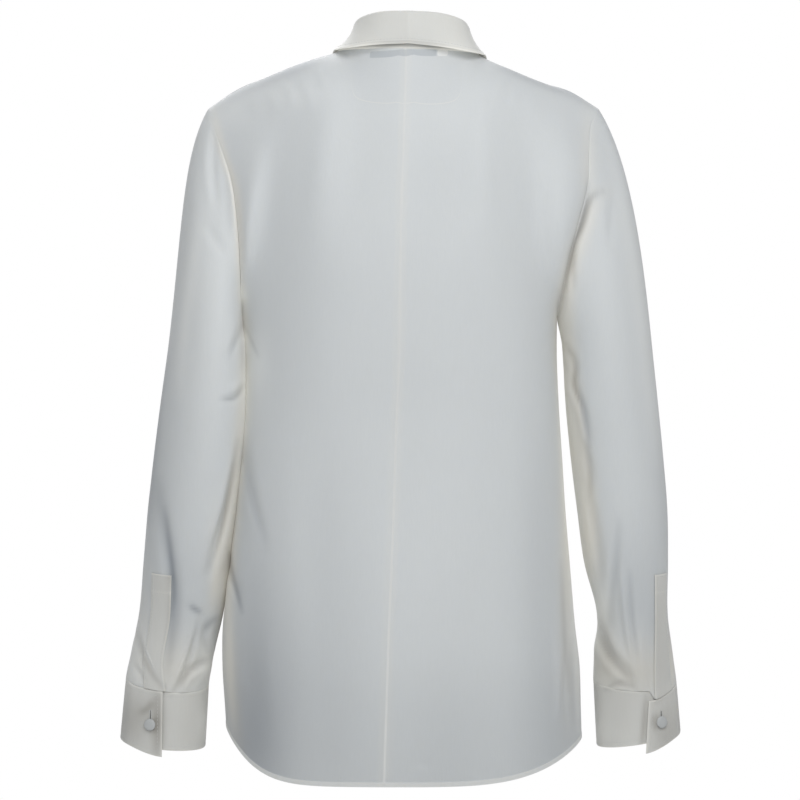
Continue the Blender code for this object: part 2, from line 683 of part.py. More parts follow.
def make_front_buttons(band):
    """A row of covered buttons down the upper band, seated on its flat faces."""
    for number in range(FRONT_BUTTONS):
        z = TOP_BUTTON_LEVEL - BUTTON_SPACING * number
        r = max(i for i, row in enumerate(band[:-1]) if row[1].z <= z)
        share = (z - band[r][1].z) / (band[r + 1][1].z - band[r][1].z)
        left, right = band[r][2].lerp(band[r + 1][2], share), band[r][1].lerp(band[r + 1][1], share)
        outward = (left - right).cross(band[r + 1][1] - band[r][1]).normalized()
        button("button_front_%d" % (number + 1), (left + right) / 2, outward)


def inside_rows(depths, inset):
    """Points under the back neck, made from the back's own points and moved in.

    depths gives, for each column of the back from left to right, how many rows it reaches
    down from the neck seam; a row between two of the back's own lies on its flat faces.
    """
    columns = [PANEL_COLUMNS[c] for c in range(3, 0, -1)] + [-c for c in PANEL_COLUMNS[:4]]
    surface = shifted(body_rows("back", columns, LEVELS[-5:]), -inset)[::-1]
    rows = []
    for share in (1, 0.5, 0.02):
        line = []
        for c, depth in enumerate(depths):
            if depth is None:
                continue
            place = depth * share
            row = int(place)
            line.append(surface[row][c].lerp(surface[row + 1][c], place - row))
        rows.append(line)
    return rows


def make_neck_inside():
    """The half-moon facing inside the back neck, and the blank label and tab on it."""
    places = range(-3, 4)
    half_moon = [FACING_DEPTH * (1 - 0.65 * (c / 3) ** 2) for c in places]
    cloth("back_neck_facing", inside_rows(half_moon, FACING_INSET), WALL, SILK)
    label = [LABEL_DEPTH if -2 <= c <= 1 else None for c in places]
    inset = FACING_INSET + WALL + 2 * SEAM_GAP
    cloth("neck_label", inside_rows(label, inset), WALL, LABEL_GREY)
    tab = [LABEL_DEPTH if 1 <= c <= 2 else None for c in places]
    rows = [[row[0].lerp(row[1], 0.15), row[0].lerp(row[1], 0.70)]
            for row in inside_rows(tab, inset)]
    cloth("size_tab", rows, WALL, TAB_WHITE)


# ---- the garment ---------------------------------------------------------------------------
for thing in list(bpy.data.objects):
    bpy.data.objects.remove(thing, do_unlink=True)
garment = bpy.data.collections.new("silk_blouse")
bpy.context.scene.collection.children.link(garment)

make_panels()
make_front_buttons(make_bands())
for garment_side in (LEFT, RIGHT):
    make_placket(garment_side, make_sleeve(garment_side))
    make_cuff(garment_side)
make_collar()
make_neck_inside()
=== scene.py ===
"""Silk shirt-blouse, worn and hollow, with its folds, seams, stitches and covered buttons.

Frame: metres, +Z up. The garment faces -Y and its left side is +X. The origin is the middle of
the neck opening. Every piece of cloth is a grid of points on the garment's form. Rows run up
from the hem and columns run anticlockwise seen from above, so that faces point outward.
"""

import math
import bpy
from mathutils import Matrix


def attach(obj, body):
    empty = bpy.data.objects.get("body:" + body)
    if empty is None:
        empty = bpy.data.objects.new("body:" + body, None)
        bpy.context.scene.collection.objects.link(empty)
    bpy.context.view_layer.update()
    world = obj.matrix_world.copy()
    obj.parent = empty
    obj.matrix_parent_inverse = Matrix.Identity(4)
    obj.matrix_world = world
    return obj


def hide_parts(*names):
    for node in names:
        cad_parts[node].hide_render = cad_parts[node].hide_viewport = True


bl_info = {
    "name": "Silk Blouse",
    "version": (1, 0, 0),
    "blender": (4, 5, 0),
    "location": "View3D > Sidebar > Blouse",
    "description": "Builds a worn silk shirt-blouse with its folds, seams and covered buttons",
    "category": "Add Mesh",
}

from collections import namedtuple
from functools import lru_cache

import bpy
import numpy as np
from bpy.props import FloatProperty, FloatVectorProperty, PointerProperty
from mathutils import Vector

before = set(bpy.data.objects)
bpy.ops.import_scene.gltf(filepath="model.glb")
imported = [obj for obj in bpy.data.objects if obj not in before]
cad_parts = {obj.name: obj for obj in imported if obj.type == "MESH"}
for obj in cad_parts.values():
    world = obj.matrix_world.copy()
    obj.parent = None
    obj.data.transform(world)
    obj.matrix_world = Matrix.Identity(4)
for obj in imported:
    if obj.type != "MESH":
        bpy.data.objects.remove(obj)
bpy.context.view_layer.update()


def table(text):
    """A table written under its heading, a row to a line; x,y pairs at a row's end are a path."""
    heading, *lines = text.strip().splitlines()
    kind = namedtuple("Row", heading)
    rows = []
    for line in lines:
        values = [float(word) for word in line.split() if "," not in word]
        path = [tuple(map(float, word.split(","))) for word in line.split() if "," in word]
        rows.append(kind(*values, path) if path else kind(*values))
    return tuple(rows)


# ---- sizes of the cut ----
BACK_LENGTH = 0.709
FRONT_LENGTH = 0.692
SIDE_LENGTHS = (0.658, 0.669)    # down to the hem at the left and the right side seam
HEM_ROUNDING = (6.0, 4.2)    # how squarely the hem turns up to the left and the right seam
UNDERARM_LEVEL = -0.262
SLEEVE_TOP_LEVEL = -0.300
SHOULDER_LEVEL = -0.058
CUFF_SEAM_LEVEL = -0.623
CUFF_DEPTH = 0.054
CUFF_OVERLAP = 42.0          # degrees of the cuff that lie under its buttoned end
BAND_WIDTH = 0.030
BAND_OVERLAP = 0.006
PLACKET_LENGTH = 0.113
SQUARENESS = 2.45
NECK_SHARE = 0.42
BAND_SHARE = 0.08
ARMHOLE_BLEND = 0.45
NECK_CENTRE = -0.008
NECK_HALF_WIDTH = 0.068
NECK_SIDE_Y = -0.008
NAPE_Y = 0.056
PIT_Y = -0.066
NECK_TILT = 0.020    # the neck seam lies a little higher at the left
NAPE_SEAM_X = -0.0054
ARMHOLE_BACK = 0.060
ARMHOLE_FRONT = 0.064
ARMHOLE_FRONT_INSET = 0.006
SLEEVE_LIFT = 0.42
COLLAR_TILT = 0.022
EDGE_TILT = 0.034
LEFT_ROLL = 0.12    # how much narrower the collar's fold is behind the left side of the neck
LEFT_EDGE = 0.04    # and its free edge
STAND_LIFT = -0.0005
FALL_ROLL = 0.0025
FALL_BOW = 0.0042
FRONT_BUTTONS = 7
TOP_BUTTON_LEVEL = -0.112
BUTTON_SPACING = 0.083
SEAM_GAP = 0.0003
DOUBLE_WALL = 0.0016
SLEEVE_COLUMNS = 132
COLLAR_WALL = 0.0013
UNDER_BAND_WALL = 0.0009
CUFF_EXTRA_WALL = 0.0002
EDGE_THINNING = 1.6    # how much thinner a rounded edge is, in the rounding of its face
SEAM_WIDTH = 0.0010
SEAM_GROOVE = 0.00020
WELT_WIDTH = 0.0007
WELT_RISE = 0.00016
HEM_RISE = 0.00025
HEM_WALL = 0.0006    # what the hem's turning adds to the cloth
FACING_FOLD = 0.0009    # width of the facing's folded edge as it shows through the back
TAPE_BLUR = 0.0006    # softness of the label's and the tab's edges there
DROOP_REACH = 52.0    # degrees from a cuff's buttoned end that its droop reaches
LAP_REACH = 28.0    # and over which the lap comes to rest on the cuff
LAP_SEAM = 0.0011    # how far the lap stands off where the sleeve's edge isn't drawn out to it
UNDER_DRAW = 0.0009    # how far the end under the lap is drawn in
SPLIT_BLEND = 10.0    # degrees over which the sleeve's edge comes out to the lap

# Lengths along the cloth that set how many rows of points it has, and rows near its edges.
SIDE_RUN = 0.447
UPPER_RUN = 0.27
TUBE_RUN = 0.323
HEAD_RUN = 0.22
CUFF_RUN = 0.27
STAND_RUN = 0.032
FALL_RUN = 0.05
DOUBLE_SPACING = 0.0022
HEM_ROWS = (0.0005, 0.0012, 0.0030, 0.0044, 0.0050, 0.0057)
TOP_ROWS = (0.0005, 0.0012, 0.0024)
CUFF_ROWS = (0.0006, 0.0015, 0.0028)
HEAD_ROWS = (0.0005, 0.0012, 0.0022)
EDGE_ROWS = (0.0004, 0.0010)
FALL_ROWS = (0.0004, 0.0009, 0.0015, 0.0021, 0.0027)

BAR_ROWS = (0.0160, 0.0190)    # stitches across a sleeve strip, below its top
STITCH_PITCH = 1.28    # stitches and the gaps between them, in stitches
STITCH_RISE = 0.0175    # upward part of the way that stitches round the neck or a wrist face
SLIT_HALF = 0.0003    # half the width of a buttonhole

LEFT, RIGHT = 1, -1
SIDE_NAMES = {LEFT: "left", RIGHT: "right"}

# The body's level sections: half widths, depths and the place of the back seam.
BODY = table("""
     z   left  right   back front   seam
 -0.73  0.165  0.177  0.107 0.108 0.0156
 -0.69  0.167  0.177  0.112  0.11 0.0145
 -0.64   0.17 0.1757 0.1145 0.112  0.013
  -0.6 0.1725 0.1745 0.1145 0.112 0.0118
 -0.56  0.172   0.17  0.112 0.111 0.0105
  -0.5 0.1655  0.165  0.108 0.111  0.008
 -0.45   0.16  0.161  0.104 0.113  0.006
  -0.4  0.156  0.158  0.101 0.116 0.0045
 -0.35 0.1525  0.155    0.1  0.12  0.003
  -0.3 0.1525  0.153  0.103 0.123 0.0018
-0.262  0.153  0.153  0.106 0.121 0.0005
""")
# The neck seam, by degrees round from the back.
NECK = table("""
turn       z
   0 -0.0048
  45 -0.0048
  75 -0.0042
  90 -0.0046
 110  -0.017
 130  -0.036
 150  -0.053
 170  -0.066
 190  -0.066
 210  -0.053
""")
# The shoulder seams, from the neck out to the armhole.
SHOULDER = table("""
along  left   left_z  right  right_z      y
    0  0.06 -0.00324  0.076 -0.00596 -0.008
 0.25 0.092  -0.0125  0.105    -0.02  -0.01
  0.5 0.124  -0.0256  0.135   -0.032 -0.012
 0.75 0.156   -0.038  0.165  -0.0409 -0.013
    1 0.187   -0.058 0.1935   -0.058 -0.014
""")
# How far out the armholes lie.
ARMHOLE = table("""
     z   left  right
-0.262  0.153  0.153
 -0.22 0.1535 0.1597
-0.177  0.156   0.17
-0.133  0.162 0.1812
-0.099  0.173  0.183
-0.075  0.182 0.1855
-0.058  0.187 0.1935
""")
# Rings of the sleeves, from under the head down to the cuff seam.
SLEEVES = {
    LEFT: table("""
     z  outer  inner  back  front  skew side_slope back_slope turn
  -0.3 0.2253 0.1508 0.068  -0.05  -0.2          0          0    0
 -0.35 0.2323 0.1505 0.066 -0.048  -0.2          0          0    4
  -0.4 0.2388 0.1533  0.06 -0.048  -0.2       0.01          0    9
 -0.45 0.2447 0.1583 0.052  -0.05 -0.18       0.02      -0.02   13
  -0.5 0.2494  0.165 0.044  -0.05 -0.14       0.04      -0.06   15
 -0.55  0.254 0.1726 0.036  -0.05 -0.08       0.05       -0.1   12
 -0.59  0.262  0.182 0.028 -0.047     0       0.07       -0.2   10
-0.623  0.267 0.1862 0.022 -0.036     0        0.1      -0.32    4
"""),
    RIGHT: table("""
     z  outer  inner  back  front skew side_slope back_slope turn
  -0.3 0.2462 0.1588 0.056 -0.058    0          0          0    0
 -0.35 0.2515 0.1615 0.052 -0.056    0          0          0    8
  -0.4 0.2565 0.1664 0.046 -0.055    0          0          0   18
 -0.45 0.2605 0.1727 0.041 -0.054    0       0.01      -0.02   28
  -0.5 0.2613 0.1795 0.036 -0.053    0       0.01      -0.06   33
 -0.55  0.261  0.192 0.032 -0.052    0       0.01       -0.1   28
 -0.59  0.266 0.1893 0.028 -0.048    0       0.01      -0.15   20
-0.623 0.2695 0.1883 0.022 -0.036    0      -0.04       -0.3   16
"""),
}
# Where a place round the armhole comes to lie round the sleeve.
Eased = namedtuple("Eased", "around turn")
SLEEVE_EASE = tuple(Eased(0.1 * i, turn) for i, turn in enumerate(
    (-90, -70, -50, -32, -15, 0, 15, 30, 48, 69, 90,
     108, 126, 144, 162, 180, 198, 216, 234, 252, 270)))
# The cuffs' lower edges, how both edges lift and droop, and where the buttons sit.
CUFFS = dict(zip((LEFT, RIGHT), table("""
 outer  inner side_slope back_slope top_lift low_lift top_droop low_droop slant seat_turn seat_down
0.2727 0.1895      0.095       -0.2   0.0075   0.0015         0    0.0065    -5        15      0.54
0.2735 0.1915       0.16      -0.15   0.0075   0.0052    0.0095    0.0095    -9        18      0.49
""")))
# Places round the sleeve of the opening strips' edges, and how far they lean.
PLACKETS = dict(zip((LEFT, RIGHT), table("""
first  last   lean
0.475 0.675  0.085
0.562 0.762 -0.033
""")))
# The collar's fold and free edge, by degrees round from the back.
COLLAR = table("""
turn fold_out fold_y  fold_z edge_out edge_y  edge_z
   0        0   0.05   0.027        0 0.0595 -0.0029
  30    0.028  0.044  0.0262    0.033  0.055  -0.005
  60    0.047  0.027  0.0228     0.06   0.04 -0.0075
  80    0.054  0.008  0.0185    0.071 0.0185 -0.0076
 100   0.0555 -0.012    0.01   0.0765 -0.009 -0.0084
 120    0.052 -0.032 -0.0035   0.0775 -0.041  -0.025
 140    0.042 -0.047  -0.019    0.069 -0.069   -0.05
 160    0.025 -0.057  -0.033    0.056  -0.09  -0.078
 172    0.012  -0.06  -0.039    0.044 -0.099  -0.096
 196  -0.0165  -0.06  -0.039     0.02  -0.11   -0.12
""")
BACK_SEAM_TURN = math.degrees(math.asin((NAPE_SEAM_X - NECK_CENTRE) / NECK_HALF_WIDTH))
BAND_TURN = math.degrees(math.asin(BAND_WIDTH / 2 / NECK_HALF_WIDTH))
HIDDEN_EDGE = BAND_SHARE * (1 - BAND_OVERLAP / (BAND_WIDTH / 2))
FACING_EDGE = NECK_SHARE * 3 / 5    # places of what is sewn behind the back neck
FACING_DEPTH = 0.0594
LABEL_ENDS = (0.147, -0.117)
TAB_ENDS = (-0.121, -0.165)
LABEL_DEPTH = 0.0070
LABEL_SAG = 0.055    # how steeply the label hangs down towards its left end, from its right one
LABEL_SAG_FROM = -0.036


# ---- settings that a user would change ----
def number(name, description, default, low, high, unit="LENGTH"):
    return FloatProperty(name=name, description=description, default=default,
                         min=low, max=high, unit=unit)


def tint(name, description, *default):
    return FloatVectorProperty(name=name, description=description, default=default,
                               size=3, min=0, max=1, subtype="COLOR")


class BlouseCloth(bpy.types.PropertyGroup):
    """Thickness, hem, mesh spacing and stitches of the cloth"""

    layer: number("Layer", "Thickness of one layer of silk with its finish",
                  0.00045, 0.0002, 0.003)
    doubled: number("Doubled", "Thickness of two layers with interlining", 0.0012, 0.0004, 0.004)
    hem: number("Hem", "Depth of the narrow rolled hem", 0.005, 0.002, 0.03)
    spacing: number("Mesh spacing", "Distance between points of the large panels",
                    0.0026, 0.002, 0.02)
    stitch: number("Stitch", "Length of one stitch", 0.0026, 0.001, 0.006)
    thread: number("Thread", "Radius of the sewing thread", 0.00016, 0.0001, 0.0005)


class BlouseColours(bpy.types.PropertyGroup):
    """Colours of the cloth, the buttons and the label, and of the painted shade, highlight and
    light on the cloth
    """

    sheer: tint("One layer", "Silk over a form, which cools it", 0.668, 0.691, 0.698)
    free: tint("Free cloth", "Silk that hangs free", 0.715, 0.705, 0.662)
    shade: tint("Shaded free cloth", "Free or doubled silk where it turns away or is pulled",
                0.345, 0.330, 0.300)
    # Painted highlight along the folded edges of the doubled pieces.
    edge: tint("Folded edge", "Crease along the edges of the doubled pieces", 0.80, 0.79, 0.745)
    # The next two are painted light that the silk emits: in the hollows, on the upper sleeves and
    # shoulders and under the collar's ends, and where it hangs free.
    lit: tint("Light between", "Light that reaches silk from behind it in the hollows",
              0.220, 0.215, 0.195)
    glow: tint("Light through", "Light that comes through silk that hangs free",
               0.045, 0.042, 0.035)
    # Painted shade in folds and hollows, towards the hem and where the silk turns from the light.
    painted_shade: tint("Shaded cloth", "Silk that stands off what is behind it", 0.300, 0.322, 0.350)
    cream: tint("Doubled cloth", "Two or more layers of silk", 0.690, 0.690, 0.662)
    line: tint("Seams and hem", "Silk folded on itself at a seam or at the hem",
               0.722, 0.730, 0.718)
    button: tint("Button", "Silk stretched over the buttons", 0.50, 0.515, 0.515)
    label: tint("Label", "Blank woven label in the neck", 0.30, 0.34, 0.38)
    tab: tint("Tab", "Blank white tab beside the label", 0.88, 0.88, 0.86)


class BlouseStage(bpy.types.PropertyGroup):
    """Studio floor, lights and camera"""

    distance: number("Camera distance", "From the camera to the garment's middle", 4.0, 1.0, 12.0)
    height: number("Camera height", "Above the neck opening, or below it when negative",
                   -0.3425, -2.0, 2.0)
    lens: number("Lens", "Focal length in millimetres on a 36 mm sensor",
                 185.0, 35.0, 400.0, "NONE")
    floor: number("Floor", "Height of the floor below the neck opening", -1.42, -2.5, -0.8)
    key: number("Key light", "Power of each high soft light, behind and before",
                16.2, 0.0, 2000.0, "POWER")
    fill: number("Fill light", "Power of each low wide light, behind and before",
                 11.5, 0.0, 2000.0, "POWER")
    surround: number("Surround", "Strength of the studio's own light", 0.375, 0.0, 3.0, "NONE")


# ---- small helpers ----
def at(known, place):
    """The row of a table at any places along its first column, on smooth curves."""
    rows = np.array(known, float)
    if rows[0, 0] > rows[-1, 0]:
        rows = rows[::-1]
    keys = rows[:, 0]
    place = np.clip(np.asarray(place, float), keys[0], keys[-1])
    low = np.clip(np.searchsorted(keys, place, side="right") - 1, 0, len(keys) - 2)
    slopes = np.empty_like(rows)
    slopes[1:-1] = (rows[2:] - rows[:-2]) / (keys[2:] - keys[:-2])[:, None]
    slopes[0] = (rows[1] - rows[0]) / (keys[1] - keys[0])
    slopes[-1] = (rows[-1] - rows[-2]) / (keys[-1] - keys[-2])
    span = (keys[low + 1] - keys[low])[..., None]
    t = (place - keys[low])[..., None] / span
    found = (rows[low] * (2 * t**3 - 3 * t**2 + 1) + slopes[low] * span * (t**3 - 2 * t**2 + t)
             + rows[low + 1] * (3 * t**2 - 2 * t**3) + slopes[low + 1] * span * (t**3 - t**2))
    return type(known[0])(*np.moveaxis(found, -1, 0))


def smooth(value):
    """Ease from 0 to 1."""
    value = np.clip(value, 0.0, 1.0)
    return value * value * (3 - 2 * value)


def vec(x, y, z):
    """Points from broadcast coordinates."""
    return np.stack(np.broadcast_arrays(x, y, z), axis=-1).astype(float)


def unit(vectors):
    return vectors / np.maximum(np.linalg.norm(vectors, axis=-1, keepdims=True), 1e-12)


def mixed(first, second, share):
    return first + (second - first) * share


def bezier(start, handle, far_handle, end, t):
    """Points on cubic curves."""
    u = 1 - t
    return start * u**3 + handle * (3 * u * u * t) + far_handle * (3 * u * t * t) + end * t**3


def graded(length, spacing, first=(), last=()):
    """Places from 0 to 1 along a length, with extra ones at given distances from either end."""
    even = np.linspace(0, length, max(2, int(round(length / spacing)) + 1))
    low = max(first, default=0) + spacing * 0.4
    high = length - max(last, default=0) - spacing * 0.4
    kept = [d for d in even[1:-1] if low < d < high]
    places = [0.0, *first, *kept, *[length - d for d in sorted(last, reverse=True)], length]
    return np.array(places) / length


# ---- the body's surface ----
def bulge(value):
    """Signed superellipse power of a sine or cosine."""
    return np.sign(value) * np.abs(value) ** (2 / SQUARENESS)


def angle_at(x, centre, half):
    """Angle round a superellipse at which it reaches x."""
    ratio = (x - centre) / half
    return np.arcsin(np.sign(ratio) * np.abs(ratio) ** (SQUARENESS / 2))


def ring_point(face, across, z):
    """Points of the body's level sections; across is 0 at the middle and 1 at the left."""
    row = at(BODY, z)
    centre, half = (row.left - row.right) / 2, (row.left + row.right) / 2
    side = np.sign(across)
    part = np.abs(across)
    if face == "back":
        start = angle_at(row.seam, centre, half)
        angle = start + (side * math.pi / 2 - start) * part
        depth = row.back
    else:
        band = angle_at(BAND_WIDTH / 2, 0, half)
        rest = (part - BAND_SHARE) / (1 - BAND_SHARE)
        angle = side * np.where(part < BAND_SHARE, band * part / BAND_SHARE,
                                band + (math.pi / 2 - band) * rest)
        depth = -row.front
    return vec(centre + half * bulge(np.sin(angle)), depth * bulge(np.cos(angle)), z)


def neck_point(turn):
    """Points of the neck seam, by degrees round from the back towards the left."""
    angle = np.radians(turn)
    behind = np.cos(angle) > 0
    reach = np.where(behind, NAPE_Y - NECK_SIDE_Y, NECK_SIDE_Y - PIT_Y)
    out = NECK_HALF_WIDTH * np.sin(angle)
    return vec(NECK_CENTRE + out, NECK_SIDE_Y + reach * np.cos(angle),
               at(NECK, np.abs(turn)).z + NECK_TILT * out)


def top_point(face, across):
    """Points of a panel's upper edge: the neck seam, then the shoulder seam."""
    part = np.abs(across)
    side = np.where(across > 0, 1.0, -1.0)
    row = at(SHOULDER, (part - NECK_SHARE) / (1 - NECK_SHARE))
    shoulder = vec(np.where(side > 0, row.left, -row.right), row.y,
                   np.where(side > 0, row.left_z, row.right_z))
    if face == "back":
        turn = BACK_SEAM_TURN + (side * 90 - BACK_SEAM_TURN) * part / NECK_SHARE
    else:
        rest = (part - BAND_SHARE) / (NECK_SHARE - BAND_SHARE)
        turn = side * np.where(part <= BAND_SHARE, 180 - BAND_TURN * part / BAND_SHARE,
                               180 - BAND_TURN - (90 - BAND_TURN) * rest)
    return np.where((part > NECK_SHARE)[..., None], shoulder, neck_point(turn))


def upper_column(face, across, up):
    """Points above the underarm: curves from the chest over to the upper edge."""
    start = ring_point(face, across, np.full(np.shape(across), UNDERARM_LEVEL))
    end = top_point(face, across)
    over = smooth((np.abs(across) - 0.12) / (NECK_SHARE - 0.06))[..., None]
    forward = -1 if face == "back" else 1
    neck_slope = np.array((0, forward * 0.50, 0.87))
    shoulder_slope = np.array((0, forward * 0.95, forward * 0.30))
    arrival = unit(mixed(neck_slope, shoulder_slope, over))
    rise = (end - start)[..., 2:]
    reach = np.abs((end - start)[..., 1:2])
    far_length = mixed(0.30 * rise, 0.25 * rise + 0.25 * reach, over)
    near = start + np.array((0, 0, 1.0)) * rise * (0.36 + 0.16 * over)
    return bezier(start, near, end - arrival * far_length, end, up[..., None])


def armhole_point(face, side, up):
    """Points of the armhole seam, from the underarm (0) to the shoulder point (1)."""
    angle = math.pi * up
    middle = (UNDERARM_LEVEL + SHOULDER_LEVEL) / 2
    z = middle - (SHOULDER_LEVEL - UNDERARM_LEVEL) / 2 * np.cos(angle)
    oval = np.sin(angle) * (1 + 0.3 * np.cos(angle)) / 1.05
    lean = SHOULDER[-1].y * up
    row = at(ARMHOLE, z)
    reach = row.left if side > 0 else row.right
    if face == "front":
        return vec(side * (reach - ARMHOLE_FRONT_INSET * np.sin(angle)),
                   lean - ARMHOLE_FRONT * oval, z)
    return vec(side * reach, lean + ARMHOLE_BACK * oval, z)


def hem_level(face, across):
    """Height of the shirt-tail hem: long in the middle, rounded up to the side seams."""
    length = BACK_LENGTH if face == "back" else FRONT_LENGTH
    side = np.where(across > 0, *SIDE_LENGTHS)
    reach = bulge(np.sin(np.abs(across) * math.pi / 2))
    return -side - (length - side) * (1 - reach ** np.where(across > 0, *HEM_ROUNDING))


def body_point(face, across, level):
    """Points of the body: level is 0 at the hem, 1 at the underarm and 2 at the upper edge."""
    across, level = np.broadcast_arrays(np.asarray(across, float), np.asarray(level, float))
    hem = hem_level(face, across)
    low = ring_point(face, across, hem + (UNDERARM_LEVEL - hem) * np.minimum(level, 1))
    up = np.clip(level - 1, 0, 1)
    edge = np.where(across > 0, 1.0, -1.0)
    pull = smooth((np.abs(across) - 1 + ARMHOLE_BLEND) / ARMHOLE_BLEND)[..., None]
    seam = np.where((across > 0)[..., None], armhole_point(face, LEFT, up),
                    armhole_point(face, RIGHT, up))
    high = upper_column(face, across, up) + (seam - upper_column(face, edge, up)) * pull
    return np.where((level <= 1)[..., None], low, high)


# ---- the sleeves' surface ----
def sleeve_ring_point(side, row, turn):
    """Points of a sleeve's rings; turn is degrees from the back towards the outer side."""
    angle = np.radians(turn + row.turn)
    centre, middle = (row.outer + row.inner) / 2, (row.back + row.front) / 2
    out = (row.outer - row.inner) / 2 * np.sin(angle)
    rear = (row.back - row.front) / 2 * np.cos(angle)
    z = row.z + row.side_slope * out + row.back_slope * rear
    return vec(side * (centre + out + row.skew * rear), middle + rear, z)


def hang(turn):
    """How much of the droop at a cuff's buttoned end is left further round."""
    return np.where(turn < 180, 1 - smooth(turn / DROOP_REACH), 0.0)


def sewn_to_cuff(side, turn):
    """How far the sleeve's lower edge hangs down and is drawn out to the cuff's buttoned end."""
    turned = (turn + 180) % 360 - 180
    share = smooth((turned - 1) / SPLIT_BLEND)
    droop = CUFFS[side].top_droop * share * hang(turned)
    return droop, np.maximum(cuff_lap(turned) - LAP_SEAM, 0) * share


def armhole_around(side, around):
    """Points of the armhole: up the back from the underarm (0 to 1), down the front (to 2)."""
    behind = (around <= 1)[..., None]
    return np.where(behind, armhole_point("back", side, around),
                    armhole_point("front", side, 2 - around))


def sleeve_tube(side, around, z):
    """Points of the sleeve below the head, down to the cuff seam."""
    turn = at(SLEEVE_EASE, around).turn
    row = at(SLEEVES[side], z)
    points = sleeve_ring_point(side, row, turn)
    middle = vec(side * (row.outer + row.inner) / 2, (row.back + row.front) / 2, points[..., 2])
    droop, outward = sewn_to_cuff(side, turn)
    outward = outward * (1 - smooth((z - CUFF_SEAM_LEVEL) / 0.012))
    points = points + unit(points - middle) * outward[..., None]
    near_cuff = 1 - smooth((z - CUFF_SEAM_LEVEL) / 0.033)
    points[..., 2] += (CUFFS[side].top_lift - droop) * near_cuff
    return points


def sleeve_head(side, around, down):
    """Points of the sleeve head, from the armhole seam (0) to the level tube (1)."""
    turn = at(SLEEVE_EASE, around).turn
    start = armhole_around(side, around)
    end, after = (sleeve_ring_point(side, at(SLEEVES[side], np.full_like(turn, level)), turn)
                  for level in (SLEEVE_TOP_LEVEL, SLEEVE_TOP_LEVEL - 0.02))
    run = np.linalg.norm(end - start, axis=-1, keepdims=True)
    lift = SLEEVE_LIFT * smooth(1.4 * np.sin(math.pi / 2 * around))[..., None]
    leave = unit((end - start) / run + lift * np.array((side, 0, 0)))
    return bezier(start, start + leave * run * 0.24, end - unit(after - end) * run * 0.38, end,
                  down[..., None])


def cuff_point(side, turn, down, lap):
    """Points of a cuff, from its seam with the sleeve (0) to its lower edge (1)."""
    cuff = CUFFS[side]
    top = SLEEVES[side][-1]
    low = top._replace(z=top.z - CUFF_DEPTH, outer=cuff.outer, inner=cuff.inner,
                       side_slope=cuff.side_slope, back_slope=cuff.back_slope)
    row = top._make([a + (b - a) * down for a, b in zip(top, low)])
    points = sleeve_ring_point(side, row, turn + cuff.slant * down * hang(turn))
    middle = vec(side * (row.outer + row.inner) / 2, (row.back + row.front) / 2, points[..., 2])
    points = points + unit(points - middle) * np.asarray(lap)[..., None]
    points[..., 2] += mixed(cuff.top_lift, cuff.low_lift, down)
    points[..., 2] -= mixed(cuff.top_droop, cuff.low_droop, down) * hang(turn)
    return points


def cuff_lap(turn):
    """How far the buttoned end stands off the end below it, which is drawn in a little."""
    above = (DOUBLE_WALL + 1.6 * SEAM_GAP) * (1 - smooth((turn - CUFF_OVERLAP) / LAP_REACH))
    return above - UNDER_DRAW * smooth((turn - 335) / 22)


# ---- the collar's surface ----
def collar_side(turn, narrowing):
    """Which side of the neck a turn lies on, a little narrowed behind the left side."""
    return np.where(turn < 0, -1, 1 - narrowing * (1 - smooth((np.abs(turn) - 100) / 40)))


def fold_point(turn):
    """Top of the stand, by degrees round from the back towards the left."""
    row = at(COLLAR, np.abs(turn))
    out = collar_side(turn, LEFT_ROLL) * row.fold_out
    return vec(NECK_CENTRE + out, row.fold_y, row.fold_z + COLLAR_TILT * out)


def edge_point(turn):
    """Free edge of the fall."""
    row = at(COLLAR, np.abs(turn))
    out = collar_side(turn, LEFT_EDGE) * row.edge_out
    return vec(NECK_CENTRE + out, row.edge_y,
               row.edge_z + EDGE_TILT * (out + NECK_HALF_WIDTH))


def stand_point(turn, up):
    """Points of the collar stand, from the neck seam (0) to the fold (1)."""
    low, high = neck_point(turn), fold_point(turn)
    low = low + unit(high - low) * STAND_LIFT
    out = unit(vec(low[..., 0] - NECK_CENTRE, low[..., 1] - NECK_SIDE_Y, 0))
    lap = (DOUBLE_WALL + SEAM_GAP) * smooth((-turn - 130) / 40)
    return mixed(low, high, np.asarray(up)[..., None]) + out * np.asarray(lap)[..., None]


def fall_point(turn, down):
    """Points of the fall: a roll over the stand's top (-1 to 0), then down to the edge (1)."""
    fold, edge = stand_point(turn, np.ones_like(turn)), edge_point(turn)
    flat = np.array((1.0, 1.0, 0.0))
    up = np.array((0.0, 0.0, 1.0))
    out = unit((edge - fold) * flat)
    base = fold + up * (2.2 * SEAM_GAP + DOUBLE_WALL / 2)
    angle = math.pi * (1 + np.minimum(down, 0))[..., None]
    roll = base + out * FALL_ROLL * (1 - np.cos(angle)) + up * FALL_ROLL * np.sin(angle)
    start = base + out * FALL_ROLL * 2
    bend = start + up * 0.55 * (edge - start)[..., 2:] + out * FALL_BOW
    t = np.clip(down, 0, 1)[..., None]
    below = mixed(mixed(start, bend, t), mixed(bend, edge, t), t)
    return np.where((down <= 0)[..., None], roll, below)


# ---- grids of points ----
def grid_normals(points, closed=False):
    """Outward normals of a grid of points."""
    if closed:
        along = np.roll(points, -1, axis=1) - np.roll(points, 1, axis=1)
    else:
        along = np.gradient(points, axis=1)
    return unit(np.cross(along, np.gradient(points, axis=0)))


def run_lengths(points, axis=0):
    """Distance along a line of points, or a grid's columns (0) or rows (1), from their start."""
    pace = np.linalg.norm(np.diff(points, axis=axis), axis=-1)
    return np.insert(np.cumsum(pace, axis=axis), 0, 0.0, axis=axis)


Edges = namedtuple("Edges", "bottom top first last")


def edge_distances(points, closed=False):
    """Distance of each point from the grid's four edges."""
    up, along = run_lengths(points), run_lengths(points, 1)
    if closed:
        far = np.ones(up.shape)
        return Edges(up, up[-1:] - up, far, far)
    return Edges(up, up[-1:] - up, along, along[:, -1:] - along)


